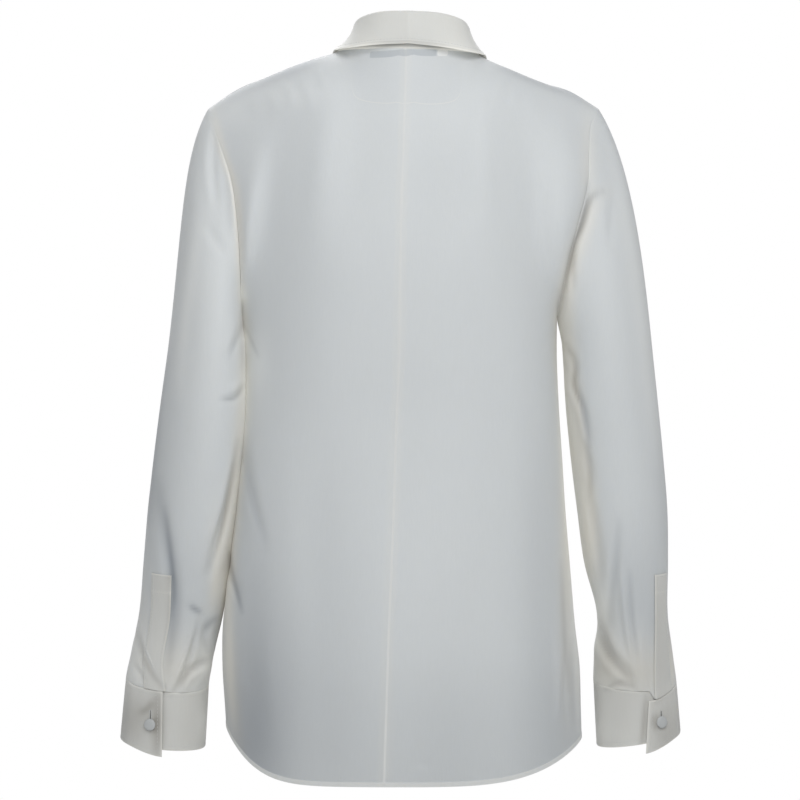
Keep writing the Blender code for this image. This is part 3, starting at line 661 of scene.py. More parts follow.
def along_line(line, run, place):
    """Points of a line at places along its run."""
    return np.stack([np.interp(place, run, line[:, k]) for k in range(3)], axis=-1)


def edge_line(points, edge, distance):
    """A line of points at a distance from one edge of a grid."""
    if edge in ("first", "last"):
        points = points.transpose(1, 0, 2)
    if edge in ("top", "last"):
        points = points[::-1]
    lengths = run_lengths(points)
    return np.array([along_line(points[:, column], lengths[:, column], distance)
                     for column in range(points.shape[1])])


def lip(distance, reach):
    """1 at an edge, falling to 0 within a reach."""
    return np.sqrt(np.clip(1 - np.clip(distance / reach, 0, 1), 0, 1))


def add_mesh(name, points, faces, finish, masks=None):
    """A smooth mesh object that rides with the garment."""
    mesh = bpy.data.meshes.new(name)
    faces = np.asarray(faces, np.int32)
    sides = faces.shape[1]
    mesh.vertices.add(len(points))
    mesh.vertices.foreach_set("co", np.asarray(points, np.float32).ravel())
    mesh.loops.add(faces.size)
    mesh.loops.foreach_set("vertex_index", faces.ravel())
    mesh.polygons.add(len(faces))
    mesh.polygons.foreach_set("loop_start", np.arange(0, faces.size, sides, dtype=np.int32))
    mesh.update(calc_edges=True)
    for mask, values in (masks or {}).items():
        layer = mesh.attributes.new(mask, "FLOAT", "POINT")
        layer.data.foreach_set("value", np.asarray(values, np.float32).ravel())
    mesh.shade_smooth()
    mesh.set_sharp_from_angle(angle=math.radians(55))
    mesh.materials.append(finish)
    piece = bpy.data.objects.new(name, mesh)
    bpy.context.scene.collection.objects.link(piece)
    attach(piece, "root")
    return piece


def quads(index, closed):
    """Faces between the numbered points of a grid."""
    after = np.roll(index, -1, axis=1) if closed else index[:, 1:]
    before = index if closed else index[:, :-1]
    return np.stack([before[:-1], after[:-1], after[1:], before[1:]], axis=-1).reshape(-1, 4)


def shell(name, outer, wall, finish, closed=False, masks=None):
    """Cloth from a grid of points on its outer face and its thickness at each point."""
    shape = outer.shape[:2]
    inner = outer - grid_normals(outer, closed) * np.broadcast_to(wall, shape)[..., None]
    index = np.arange(outer[..., 0].size).reshape(shape)
    front = quads(index, closed)
    faces = [front, front[:, ::-1] + index.size]
    edges = [(index[0], 1), (index[-1], -1)]
    if not closed:
        edges += [(index[:, 0], -1), (index[:, -1], 1)]
    for line, way in edges:
        a, b = (line, np.roll(line, -1)) if closed else (line[:-1], line[1:])
        faces.append(np.stack([b, a, a + index.size, b + index.size], axis=-1)[:, ::way])
    points = np.concatenate([outer.reshape(-1, 3), inner.reshape(-1, 3)])
    both = {mask: np.tile(np.broadcast_to(values, shape).ravel(), 2)
            for mask, values in (masks or {}).items()}
    return add_mesh(name, points, np.concatenate(faces), finish, both)


# ---- folds ----
Spot = namedtuple("Spot", "run x y")

CHART_STEP = 0.000973        # one step of the chart on which folds are drawn
CHART_MIDDLE = (400, 48)     # the chart's place for the middle of the neck opening
CHART_DISTANCE = 4.0


def on_chart(points):
    """Places of points on a flat chart of the garment, as its back is seen from a distance."""
    depth = CHART_DISTANCE / (CHART_DISTANCE - points[..., 1])
    level = bpy.context.scene.blouse_stage.height
    height = level + (points[..., 2] - level) * depth
    return np.stack([CHART_MIDDLE[0] - points[..., 0] * depth / CHART_STEP,
                     CHART_MIDDLE[1] - height / CHART_STEP], axis=-1)


def curve_through(path, count):
    """Evenly spaced points on a smooth curve through a path's points."""
    path = np.array(path, float)
    run = run_lengths(path)
    row = at([Spot(*values) for values in np.column_stack([run, path])],
             np.linspace(0, run[-1], count))
    return np.stack([row.x, row.y], axis=-1)


def from_path(places, path, reach):
    """Which flat places lie near a path, how far to one side of it and how far along it."""
    line = curve_through(path, 28)
    near = ((places > line.min(0) - reach) & (places < line.max(0) + reach)).all(-1)
    start, step = line[:-1], np.diff(line, axis=0)
    offset = places[near][:, None, :] - start[None]
    t = np.clip((offset * step).sum(-1) / (step**2).sum(-1), 0, 1)
    gap = offset - t[..., None] * step
    best = np.argmin((gap**2).sum(-1), axis=1)
    pick = np.arange(len(best))
    gap, t, way = gap[pick, best], t[pick, best], step[best]
    side = np.sign(way[:, 0] * gap[:, 1] - way[:, 1] * gap[:, 0])
    return near, side * np.linalg.norm(gap, axis=1), (best + t) / (len(line) - 1)


def crease_height(places, crease):
    """Height of one fold over flat places: a ridge or a trough that fades at its ends."""
    height = np.zeros(places.shape[:-1])
    near, aside, along = from_path(places, crease.path, 4 * crease.width)
    aside = aside / crease.width
    profile = np.exp(-aside**2) - crease.lean * np.exp(-(aside - 1.5) ** 2)
    height[near] = crease.depth / 1000 * profile * np.sin(math.pi * np.clip(along, 0, 1)) ** 0.7
    return height


def tinted(points, spots, strips):
    """Soft patches and strips over a surface, from 0 to 1."""
    places = on_chart(points)
    total = np.zeros(places.shape[:-1])
    for spot in spots:
        total += spot.amount * np.exp(-((places[..., 0] - spot.x) / spot.wide) ** 2
                                      - ((places[..., 1] - spot.y) / spot.tall) ** 2)
    for strip in strips:
        near, aside, along = from_path(places, strip.path, 3 * strip.width)
        fade = np.sin(math.pi * np.clip(along, 0.02, 0.98)) ** 0.5
        total[near] += strip.amount * np.exp(-(aside / strip.width) ** 2) * fade
    return np.clip(total, 0, 1)


def tints(points, normals, more=()):
    """How freely the cloth hangs, which warms it and adds a painted glow, and how much painted
    shade and painted light it gets.
    """
    rear = np.maximum(smooth(1 + normals[..., 1] / 0.4), smooth((normals[..., 2] - 0.4) / 0.4))
    # Painted shade in the folds, on faces turned back or up.
    painted_fold_shade = rear * tinted(points, (), PAINTED_SHADE_STRIPS + more)
    return {"free": tinted(points, FREE_GLOW_CLOUDS, FREE_GLOW_STRIPS),
            "painted_shade": np.clip(tinted(points, PAINTED_SHADE_CLOUDS, ()) + painted_fold_shade, 0, 1),
            "lit": tinted(points, LIT_CLOUDS, LIT_STRIPS)}


def folded(points, normals, creases, weight):
    """Points of a surface with its folds pressed in or raised."""
    places = on_chart(points)
    height = sum((crease_height(places, crease) for crease in creases), np.zeros(places.shape[:-1]))
    return points + normals * (height * weight)[..., None]


def press_folds(points, normals, back, front, free):
    """Press the folds of the garment's back and those of its front into a grid."""
    rear = smooth(0.5 + normals[..., 1] / 0.6)
    points = folded(points, normals, back, rear * free)
    return folded(points, normals, front, (1 - rear) * free)


# The folds: depth in mm, then width, lean and path on the chart.
BACK_CREASES = table("""
depth width lean path
0.5 5 0.3  298,74 304,84 309,98 310,114
0.35 4.5 0.2  284,80 289,92 293,108
0.45 4.5 0.4  316,66 321,76 325,90
0.3 5 0.2  266,88 272,98 276,114
0.25 5.5 0.2  248,94 254,104 258,122
0.4 5 0.3  504,74 500,86 498,104
0.35 4.5 0.3  520,80 516,92 513,108
0.3 5 0.3  538,86 534,98 531,116
-0.5 22 0.2  288,170 284,220 286,280 282,420
-0.6 12 0.2  262,520 258,600 262,700
0.9 13 0  285,440 292,560 300,700
-0.9 16 0  318,420 322,560 318,720 316,785
-1 16 0.2  546,240 552,380 548,520 546,640 548,740
0.9 14 0  520,300 518,450 524,600 520,720
0.7 15 0  450,420 446,560 452,700 450,785
-0.7 13 0  486,470 482,600 488,720 484,785
-0.6 4 0.5  413,768 422,764 431,766
-1.3 3.5 0.4  563,590 567,650 565,700 571,745
1 3.5 0.2  555,620 559,680 557,735
-0.9 3 0.3  573,640 572,690 575,735
-1.4 5 0.4  245,440 249,480 257,515 268,550
-1.8 4 0.4  229,552 233,578 241,606
-0.7 5 0.2  243,322 250,340 260,360
-0.8 7 0.3  244,640 252,690 250,745
0.7 8 0.2  262,610 270,680 276,750
""")
FRONT_CREASES = table("""
depth width lean path
-2 15 0.2  290,220 272,330 262,460 268,620 276,740
1.7 14 0  322,250 306,380 300,540 310,720
-1.4 13 0  352,330 346,460 350,620 346,770
-1.8 15 0.2  520,220 538,340 546,480 540,640 536,740
1.5 13 0  488,260 500,400 506,560 498,720
-1.2 12 0  455,380 460,520 454,660 458,770
""")
SLEEVE_CREASES = {
    LEFT: table("""
depth width lean path
-1.6 4.5 0.5  216,124 213,150 213,175 216,208
1.4 5 0.3  219,132 228,160 233,190 235,240
-1 6 0.2  206,222 214,238 227,258
-1.6 4 0.5  243,318 238,336 229,358
-1.4 4 0.5  243,382 239,392 233,399 219,400
1.2 4.5 0.2  241,376 236,388 224,388
-2.8 5 0.5  237,460 228,505 216,545 206,580
-1.6 3.5 0.5  240,430 234,470 226,510 220,540
1.4 4.5 0.2  236,478 228,520 220,560 214,590
1.2 6 0.2  222,486 212,520 204,548
-2.4 3.5 0.6  166,692 154,676 143,655 136,630
-1.8 3 0.5  160,692 146,681 133,664
1.6 3 0.3  165,690 153,668 145,640
-3.2 4 0.6  173,694 184,677 196,667 211,658
1.8 3 0.3  171,692 180,668 188,648 196,622
-1.6 3 0.4  180,690 187,668 193,642 200,616
-2 4 0.5  209,656 204,638 207,620
1.4 4 0.2  192,690 202,678 210,668
-2 7 0.3  158,480 165,530 172,570 176,610 173,660
-0.8 4 0.3  188,600 197,609 208,613
"""),
    RIGHT: table("""
depth width lean path
-3 4 0.7  602,192 592,198 583,224 576,242 569,268 563,296 558,324
-1.4 3.5 0.4  576,250 573,268 574,292
-0.9 5 0.2  613,190 612,220 609,250
-2.4 3.5 0.5  566,344 575,364 575,386 583,408 590,446
-1.8 4 0.4  584,440 590,470 590,500
1.2 5 0.2  566,372 571,410 578,452
-1.8 5 0.5  586,480 594,520 600,560 604,596
-1.6 5 0.4  618,520 616,560 611,600 608,630
-3.2 5 0.5  597,618 604,645 616,664 634,682
1.6 4 0.2  604,618 613,642 626,660 638,672
1.4 3 0.3  620,560 624,610 630,650 637,690
-1.6 3 0.4  629,570 632,620 638,664
-1.6 3 0.3  604,690 618,683 636,688
1.2 4 0.2  646,690 642,660 640,630
"""),
}
FRONT_SLEEVE_CREASES = {
    LEFT: table("""
depth width lean path
-2.4 6 0.3  214,160 208,210 206,260
-3.2 7 0.4  232,330 212,380 190,410
2.2 7 0.2  236,372 216,410 196,440
-2.6 6 0.4  226,440 206,470 186,484
-2.2 6 0.3  164,690 170,650 184,610
-1.9 5 0.3  146,690 150,660 160,632
"""),
    RIGHT: table("""
depth width lean path
-2.2 6 0.3  592,170 598,220 600,262
-3 7 0.4  572,340 590,382 614,408
2.1 7 0.2  576,384 596,420 618,446
-2.4 6 0.4  590,452 608,480 630,490
-2.2 6 0.3  640,690 634,650 620,612
-1.8 5 0.3  656,690 652,662 644,636
"""),
}
# Where the silk hangs free of a form it is warmer and emits a painted glow.
FREE_GLOW_CLOUDS = table("""
amount x y wide tall
1 567 540 8 130
0.4 138 630 14 60
0.4 216 560 10 50
0.7 572 390 8 70
0.6 586 540 10 80
0.5 602 650 14 50
0.8 178 672 40 34
0.9 634 674 42 34
0.5 588 160 8 50
0.7 670 655 9 40
""")
FREE_GLOW_STRIPS = table("""
amount width path
1 5  213,108 222,150 234,185 239,230 241,300
1 7  242,290 243,340 243,380 240,430 236,480 230,540 227,600 230,680 238,750
0.7 5  234,470 226,520 217,570 212,610
1 9  602,194 594,204 586,222 578,244 570,272 564,310 564,360 570,400
0.9 8  563,345 570,390 577,430 585,475 591,520 597,575
""")
# Painted shade: darker towards the hem and the lower left, in folds and hollows and along edges
# that turn from the light.
PAINTED_SHADE_CLOUDS = table("""
amount x y wide tall
0.08 445 165 40 50
0.66 250 745 40 90
0.1 290 300 50 200
0.26 330 755 60 120
0.24 450 765 70 110
0.36 560 745 46 110
0.12 330 570 50 120
0.1 540 560 40 110
0.28 252 610 24 90
0.11 285 650 34 70
0.16 184 590 30 50
0.26 634 600 30 60
0.16 632 672 34 26
0.24 606 655 10 24
0.22 150 480 12 70
0.5 132 720 26 30
0.15 185 725 20 40
0.15 625 712 20 30
0.5 668 735 18 40
0.18 658 640 12 50
""")
PAINTED_SHADE_STRIPS = table("""
amount width path
0.35 3  242,296 242,326 243,376
0.6 2.4  242,300 242,316 243,334
0.32 2  242,322 237,338 229,358
0.32 2  243,322 250,338 259,358
0.35 5  173,596 170,640 167,682
0.66 7  347,44 330,53 300,65 270,77 240,89 225,97 208,108
0.46 5.5  478,50 500,64 515,71 545,83 575,94 600,110
0.5 5  167,350 159,400 154,440 149,480 147,520
0.45 3  165,508 169,538 172,565 174,590 171,616
0.45 2.4  589,178 586,200 581,218 577,234
0.25 5  568,356 575,400 582,440 589,484
0.45 2.4  243,383 240,391 234,398 221,399
0.28 5  244,440 248,480 256,515 266,548
0.45 3  235,466 228,500 219,538 208,572
0.4 2.4  238,440 231,480 224,516 217,548
0.7 2.6  228,548 232,572 237,592 242,612
0.4 6  158,480 165,530 172,570 176,610 173,660
0.65 3.2  189,605 195,609 202,613
0.45 3.5  204,630 211,622 219,616
0.45 3  172,694 184,677 196,667 211,658
0.35 3  166,692 154,676 143,655 136,630
0.22 3  180,690 187,668 193,642 200,616
0.25 3.5  209,656 204,638 207,620
0.95 3.2  602,192 592,198 582,226 575,242 568,270 562,298 557,324
0.25 3  575,252 573,270 574,292
0.75 2.6  566,344 575,364 575,386 583,408 590,446
0.4 3  586,440 590,470 590,500
0.25 4  586,480 594,520 600,560 604,600
0.25 4.5  618,520 616,560 611,600 608,640
0.45 4  598,622 604,645 616,664 634,682
0.2 3  629,570 632,620 638,664
0.35 2.6  604,690 618,684 636,688
0.25 3  561,560 564,620 568,690
0.2 3  571,640 573,690 574,730
""")
# Painted light that the silk emits: in the hollows, where light comes through from behind, and on
# the upper sleeves and shoulders.
LIT_CLOUDS = table("""
amount x y wide tall
0.22 206 250 26 170
0.3 258 365 12 40
0.2 288 92 40 14
0.18 235 112 20 16
0.42 604 600 9 24
0.42 207 662 8 24
0.22 204 722 8 20
0.14 602 722 8 24
0.15 665 600 7 40
0.18 131 660 8 40
""")
LIT_STRIPS = table("""
amount width path
0.7 4.5  243,288 243,315 245,348
0.35 3.5  245,340 245,400 243,450
0.34 9  612,150 632,250 643,330 651,400 657,460
0.28 7  198,220 189,290 183,340 179,395
0.35 4  561,306 558,320 562,338
0.6 4.5  559,340 561,420 566,500 572,580 576,650 578,730
0.22 4  230,590 230,660 233,730
""")
# Shade along the pulls in the cuffs.
CUFF_STRIPS = table("""
amount width path
0.6 6  158,686 158,725 157,764
0.45 4  153,700 147,709 139,713
0.4 3  155,716 156,725 152,734
0.45 3  646,692 644,720 641,756
0.4 3  655,714 654,722 657,732
0.3 3  652,702 660,697 668,690
""")


# ---- materials ----
class Wire:
    """A socket whose Python operators add Math nodes."""

    def __init__(self, finish, socket):
        self.finish = finish
        self.socket = socket

    def maths(self, operation, first, second):
        return self.finish.node("ShaderNodeMath", {"operation": operation},
                                {0: first, 1: second})

    def __add__(self, other):
        return self.maths("ADD", self, other)

    def __sub__(self, other):
        return self.maths("SUBTRACT", self, other)

    def __rsub__(self, other):
        return self.maths("SUBTRACT", other, self)

    def __mul__(self, other):
        return self.maths("MULTIPLY", self, other)

    __radd__ = __add__
    __rmul__ = __mul__


class Nodes:
    """A node tree with one method that adds any node."""

    def __init__(self, owner):
        owner.use_nodes = True
        self.tree = owner.node_tree

    def node(self, kind, settings=None, sockets=None, output=0):
        made = self.tree.nodes.new(kind)
        for setting, value in (settings or {}).items():
            setattr(made, setting, value)
        for place, value in (sockets or {}).items():
            self.put(made.inputs[place], value)
        return Wire(self, made.outputs[output])

    def put(self, socket, value):
        if isinstance(value, Wire):
            self.tree.links.new(value.socket, socket)
        else:
            socket.default_value = value


class Finish(Nodes):
    """A material made of a cloth shader and what varies over it."""

    def __init__(self, name, roughness, **shader_values):
        self.material = bpy.data.materials.new(name)
        super().__init__(self.material)
        self.shader = self.tree.nodes["Principled BSDF"]
        self.shader.inputs["Roughness"].default_value = roughness
        for socket, value in shader_values.items():
            self.shader.inputs[socket.replace("_", " ")].default_value = value

    def mask(self, name):
        return self.node("ShaderNodeAttribute", {"attribute_name": name}, output="Fac")

    def place(self):
        return self.node("ShaderNodeTexCoord", output="Object")

    def stretched(self, place, scale):
        return self.node("ShaderNodeVectorMath", {"operation": "MULTIPLY"},
                         {0: place, 1: scale})

    def noise(self, place, scale, detail=2.0):
        return self.node("ShaderNodeTexNoise", {},
                         {"Vector": place, "Scale": scale, "Detail": detail})

    def mix(self, share, first, second, blend="MIX"):
        return self.node("ShaderNodeMix", {"data_type": "RGBA", "blend_type": blend},
                         {0: share, 6: first, 7: second}, output=2)

    def step(self, value, low, high):
        """0 at the low value, easing to 1 at the high one."""
        return self.node("ShaderNodeMapRange", {"interpolation_type": "SMOOTHSTEP"},
                         {"Value": value, "From Min": low, "From Max": high})

    def colour(self, value):
        self.put(self.shader.inputs["Base Color"], value)

    def bump(self, height, distance, strength=1.0):
        normal = self.node("ShaderNodeBump", {},
                           {"Height": height, "Distance": distance, "Strength": strength},
                           output="Normal")
        self.put(self.shader.inputs["Normal"], normal)


def rgba(colour):
    return (*colour, 1.0)


def silk(name, doubled_only=False, lined=False):
    """Ivory silk crepe: cool where it lies over a form, warm where it hangs free or is doubled,
    with painted shade, a painted highlight on folded edges and emitted painted light.
    """
    colours = bpy.context.scene.blouse_colours
    finish = Finish(name, 0.58, Sheen_Weight=0.22, Sheen_Roughness=0.5, Specular_IOR_Level=0.32,
                    Subsurface_Weight=0.3, Subsurface_Radius=(1.0, 0.94, 0.82),
                    Subsurface_Scale=0.0012)
    place = finish.place()
    grain = finish.noise(finish.stretched(place, (1.0, 1.0, 0.12)), 620.0, 3.0)
    crepe = finish.noise(place, 1500.0, 2.0)
    cloud = finish.noise(finish.stretched(place, (1.0, 1.0, 0.35)), 14.0, 3.0)
    if doubled_only:
        light = (0.0, 0.0, 0.0, 1.0)
        # Painted shade, then a painted highlight along the folded edges.
        base = finish.mix(finish.mask("painted_shade"), rgba(colours.cream), rgba(colours.shade))
        base = finish.mix(finish.mask("edge"), base, rgba(colours.edge))
    else:
        free = finish.mask("free")
        light = finish.mix(free, (0.0, 0.0, 0.0, 1.0), rgba(colours.glow))
        base = finish.mix(free, rgba(colours.sheer), rgba(colours.free))
        # Painted shade: bluish on silk over a form, warm on silk that hangs free.
        shade = finish.mix(free, rgba(colours.painted_shade), rgba(colours.shade))
        base = finish.mix(finish.mask("painted_shade"), base, shade)
        base = finish.mix(0.9 * finish.mask("doubled"), base, rgba(colours.line))
    # The emission is painted light: the glow of free silk and the lit colour where the lit mask
    # calls for it.
    finish.put(finish.shader.inputs["Emission Color"],
               finish.mix(finish.mask("lit"), light, rgba(colours.lit)))
    finish.shader.inputs["Emission Strength"].default_value = 1.0
    finish.material.cycles.emission_sampling = "NONE"
    if lined:
        facing = finish.mask("facing")
        fold = (finish.step(facing, -FACING_FOLD, 0.0)
                * (1 - finish.step(facing, 0.0, FACING_FOLD)))
        base = finish.mix(fold, base, rgba(colours.line))
        for mask, share in (("label", 0.40), ("tab", 0.65)):
            under = 1 - finish.step(finish.mask(mask), -TAPE_BLUR, TAPE_BLUR)
            base = finish.mix(share * under, base, rgba(getattr(colours, mask)))
    tone = 0.955 + 0.05 * cloud + 0.04 * grain
    finish.colour(finish.mix(1.0, base, tone, "MULTIPLY"))
    finish.bump(0.6 * grain + 0.4 * crepe, 0.00012, 0.8)
    return finish.material


def woven(name, colour, roughness, scale, tone, bump, stretch=(1.0, 1.0, 1.0), **shader_values):
    """Close cloth of one colour; tone is its darkest share and how far the weave varies it."""
    finish = Finish(name, roughness, **shader_values)
    weave = finish.noise(finish.stretched(finish.place(), stretch), scale)
    finish.colour(finish.mix(1.0, rgba(colour), tone[0] + tone[1] * weave, "MULTIPLY"))
    finish.bump(weave, *bump)
    return finish.material


def mottled(name, first, second, roughness, scale, detail=2.0, **shader_values):
    """A plain surface that varies a little between two colours."""
    finish = Finish(name, roughness, **shader_values)
    cloud = finish.noise(finish.place(), scale, detail)
    finish.colour(finish.mix(cloud, rgba(first), rgba(second)))
    return finish.material


def thread_finish(name):
    """Fine matching thread."""
    colours = bpy.context.scene.blouse_colours
    return mottled(name, colours.cream, colours.button, 0.5, 2600.0, 1.0, Sheen_Weight=0.1)


def button_finish(name):
    """Silk drawn tight over a button's dome."""
    return woven(name, bpy.context.scene.blouse_colours.button, 0.48, 1800.0, (0.94, 0.1),
                 (0.0001, 0.7), Sheen_Weight=0.12, Specular_IOR_Level=0.4)


def label_finish(name):
    """Blank satin-woven tape."""
    return woven(name, bpy.context.scene.blouse_colours.label, 0.42, 2200.0, (0.88, 0.24),
                 (0.00012, 0.8), (0.2, 1.0, 1.0), Specular_IOR_Level=0.45)


def tab_finish(name):
    """Blank white satin tab."""
    return woven(name, bpy.context.scene.blouse_colours.tab, 0.40, 2400.0, (0.95, 0.1),
                 (0.0001, 0.6), Specular_IOR_Level=0.45)


def hole_finish(name):
    """The shaded inside of a buttonhole."""
    return mottled(name, (0.05, 0.05, 0.05), (0.10, 0.10, 0.09), 0.9, 1800.0)


def floor_finish(name):
    """Pale studio floor."""
    return mottled(name, (0.84, 0.84, 0.83), (0.88, 0.88, 0.875), 0.85, 2.0, 3.0)


def finish_for(name, make, *values):
    """A material made once and then shared."""
    name = "sewn_" + name
    return bpy.data.materials.get(name) or make(name, *values)


# ---- what the pieces share ----
ALL_ROUND = ("bottom", "top", "first", "last")

# Edges that are rounded off, how much and how far in; then the row of stitches beside them.
Border = namedtuple("Border", "edges round reach inset width groove")
BAND_BORDER = Border(ALL_ROUND, 0.0004, 0.0009, 0.0050, 0.0009, 0.00012)
PLACKET_BORDER = Border(("top", "first", "last"), 0.0005, 0.0010, 0.0022, 0.0008, 0.00015)
CUFF_BORDER = Border(ALL_ROUND, 0.0005, 0.0010, 0.0048, 0.0010, 0.00015)
STAND_BORDER = Border(("bottom",), 0.0005, 0.0011, 0.0050, 0.0009, 0.00012)
FALL_BORDER = STAND_BORDER._replace(edges=("bottom", "first", "last"))


def sewn_in(node):
    """Hide the part of model.glb that a piece of cloth stands for."""
    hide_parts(node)


def edged(points, normals, border):
    """A doubled piece with its edges rounded off and its row of stitches pressed in."""
    edges = edge_distances(points)
    near = np.minimum.reduce([getattr(edges, edge) for edge in border.edges])
    rounding = border.round * lip(near, border.reach)
    row = border.groove * np.exp(-((near - border.inset) / border.width) ** 2)
    return points - normals * (rounding + row)[..., None], near, EDGE_THINNING * rounding


def doubled_cloth(node, points, wall, masks, rows, middle=None):
    """A doubled piece with its stitches."""
    piece = shell(node + "_cloth", points, wall, finish_for("silk_double", silk, True),
                  masks=masks)
    thread = stitch_rows(node.replace("_upper", "") + "_stitches", rows, middle)
    sewn_in(node)


# ---- the body's pieces ----
def body_places(face):
    """Places across the back or the front, closer together at the seams and the bands."""
    near = np.array((0.0007, 0.0017, 0.0035, 0.0075))
    if face == "back":
        inner = np.concatenate([(0.0,), near, np.linspace(0.0135, NECK_SHARE, 36)])
    else:
        band = np.linspace(0, BAND_SHARE, 9)
        inner = np.concatenate([band, (HIDDEN_EDGE,), BAND_SHARE + near[1:],
                                np.linspace(0.10, NECK_SHARE, 28)])
    outer = np.linspace(NECK_SHARE, 0.988, 52)[1:]
    places = np.unique(np.concatenate([inner, outer, 1 - near, (1.0,)]))
    places = np.concatenate([-places[:0:-1], places])
    return places if face == "front" else places[::-1]


def relaxed(points, weight, rounds):
    """A grid eased towards the middles of its own neighbours, its edges left in place."""
    for _ in range(rounds):
        middle = (points[:-2, 1:-1] + points[2:, 1:-1] + points[1:-1, :-2] + points[1:-1, 2:]) / 4
        points[1:-1, 1:-1] += (middle - points[1:-1, 1:-1]) * weight[1:-1, 1:-1, None]
    return points


@lru_cache(maxsize=None)
def body_grid(face):
    """Points of the whole back or front with its folds, from the hem up, and their places."""
    sizes = bpy.context.scene.blouse_cloth
    places = body_places(face)
    low = graded(SIDE_RUN, sizes.spacing, HEM_ROWS)
    high = graded(UPPER_RUN, sizes.spacing, (), TOP_ROWS)
    levels = np.concatenate([low, 1 + high[1:]])[:, None]
    points = body_point(face, places[None, :], levels)
    for side in (LEFT, RIGHT):
        corner = neck_point(np.array(90.0 * side))
        near = np.linalg.norm(points - corner, axis=-1) / 0.10
        points = relaxed(points, np.exp(-near**2), 220)
    chest = (points[..., 2] - UNDERARM_LEVEL) / 0.05
    points = relaxed(points, np.exp(-chest**2), 260)
    edges = edge_distances(points)
    sewn = np.where(levels > 1, np.minimum(edges.first, edges.last), 1.0)
    free = smooth(np.minimum(sewn, edges.top) / 0.009)
    backs, fronts = (BACK_CREASES, ()) if face == "back" else ((), FRONT_CREASES)
    return press_folds(points, grid_normals(points), backs, fronts, free), places


def body_part(face, first, last):
    """The columns of the back or the front between two places."""
    points, places = body_grid(face)
    low, high = min(first, last) - 1e-6, max(first, last) + 1e-6
    kept = (places >= low) & (places <= high)
    return points[:, kept], places[kept]


def behind_neck(points, places):
    """How far points of the back lie from the edges of what is sewn inside the neck."""
    down = edge_distances(points).top
    x = points[..., 0]
    beyond = np.maximum(np.abs(places) - FACING_EDGE, 0)
    masks = {"facing": (facing_depth(places) - down) * (1 + 60 * beyond)}
    for mask, (first, last) in (("label", LABEL_ENDS), ("tab", TAB_ENDS)):
        ends = top_point("back", np.array((first, last)))[:, 0]
        aside = np.abs(x - ends.mean()) - abs(ends[0] - ends[1]) / 2
        sag = LABEL_SAG * (x - LABEL_SAG_FROM)
        masks[mask] = np.maximum(aside, np.abs(down - sag - LABEL_DEPTH / 2) - LABEL_DEPTH / 2)
    return masks


def make_panel(name, face, first, last):
    """One panel of the body, with its hem, its seams, the tints of what lies behind it and its
    painted shade and light.
    """
    sizes = bpy.context.scene.blouse_cloth
    points, places = body_part(face, first, last)
    normals = grid_normals(points)
    edges = edge_distances(points)
    hem = smooth((sizes.hem - edges.bottom) / 0.0008)
    inner, outer = edges.first, edges.last
    if (face == "back") == (last > 0):
        inner, outer = outer, inner
    middle = inner if face == "back" else np.ones_like(hem)
    sides = np.minimum(outer, edges.top if face == "back" else inner)
    groove = np.exp(-(sides / SEAM_WIDTH) ** 2)
    welt = np.exp(-((middle - WELT_WIDTH) / WELT_WIDTH) ** 2)
    raised = HEM_RISE * hem - SEAM_GROOVE * groove + WELT_RISE * welt
    points = points + normals * raised[..., None]
    wall = (sizes.layer + HEM_WALL * hem) * (1 - 0.7 * lip(edges.bottom, 0.0012))
    doubled = np.maximum(hem, smooth((0.0015 - middle) / 0.0008))
    masks = {**tints(points, normals), "doubled": doubled}
    # Silk beside the back seam is a little warmer and emits a little painted glow.
    masks["free"] = np.maximum(masks["free"], 0.16 * smooth((0.0065 - middle) / 0.002))
    if face == "back":
        masks.update(behind_neck(points, places))
        return shell(name, points, wall, finish_for("silk_back", silk, False, True), masks=masks)
    return shell(name, points, wall, finish_for("silk", silk), masks=masks)


class BLOUSE_OT_body(bpy.types.Operator):
    """Sew the two back panels and the two fronts"""

    bl_idname = "blouse.body"
    bl_label = "Back and fronts"

    def execute(self, context):
        for node, face, first, last in (("back_left", "back", 0.0, 1.0),
                                        ("back_right", "back", -1.0, 0.0),
                                        ("front_left", "front", BAND_SHARE, 1.0),
                                        ("front_right", "front", -1.0, -HIDDEN_EDGE)):
            piece = make_panel(node + "_cloth", face, first, last)
            sewn_in(node)
        return {"FINISHED"}


def upper_band():
    """The upper band's outer face and the way it faces."""
    points = body_part("front", -BAND_SHARE, BAND_SHARE)[0]
    normals = grid_normals(points)
    return points + normals * (DOUBLE_WALL + SEAM_GAP), normals


class BLOUSE_OT_bands(bpy.types.Operator):
    """Fold the two button bands down the middle of the front"""

    bl_idname = "blouse.bands"
    bl_label = "Button bands"

    def execute(self, context):
        under = body_part("front", -HIDDEN_EDGE, BAND_SHARE)[0]
        piece = shell("front_band_under_cloth", under, UNDER_BAND_WALL,
                      finish_for("silk_double", silk, True))
        sewn_in("front_band_under")
        points, _, thinning = edged(*upper_band(), BAND_BORDER)
        rows = [(edge_line(points, edge, BAND_BORDER.inset), (0, -1, 0))
                for edge in ("first", "last")]
        doubled_cloth("front_band_upper", points, context.scene.blouse_cloth.doubled - thinning,
                      {}, rows)
        return {"FINISHED"}


# ---- the sleeves' pieces ----
def sleeve_grid(side, around):
    """Points of a sleeve's outer face, from the cuff seam up to the armhole."""
    sizes = bpy.context.scene.blouse_cloth
    tube = graded(TUBE_RUN, sizes.spacing, CUFF_ROWS)
    z = CUFF_SEAM_LEVEL + (SLEEVE_TOP_LEVEL - CUFF_SEAM_LEVEL) * tube
    head = 1 - graded(HEAD_RUN, sizes.spacing, (), HEAD_ROWS)[1:]
    low = sleeve_tube(side, *np.broadcast_arrays(around[None, :], z[:, None]))
    high = sleeve_head(side, *np.broadcast_arrays(around[None, :], head[:, None]))
    return np.concatenate([low, high])


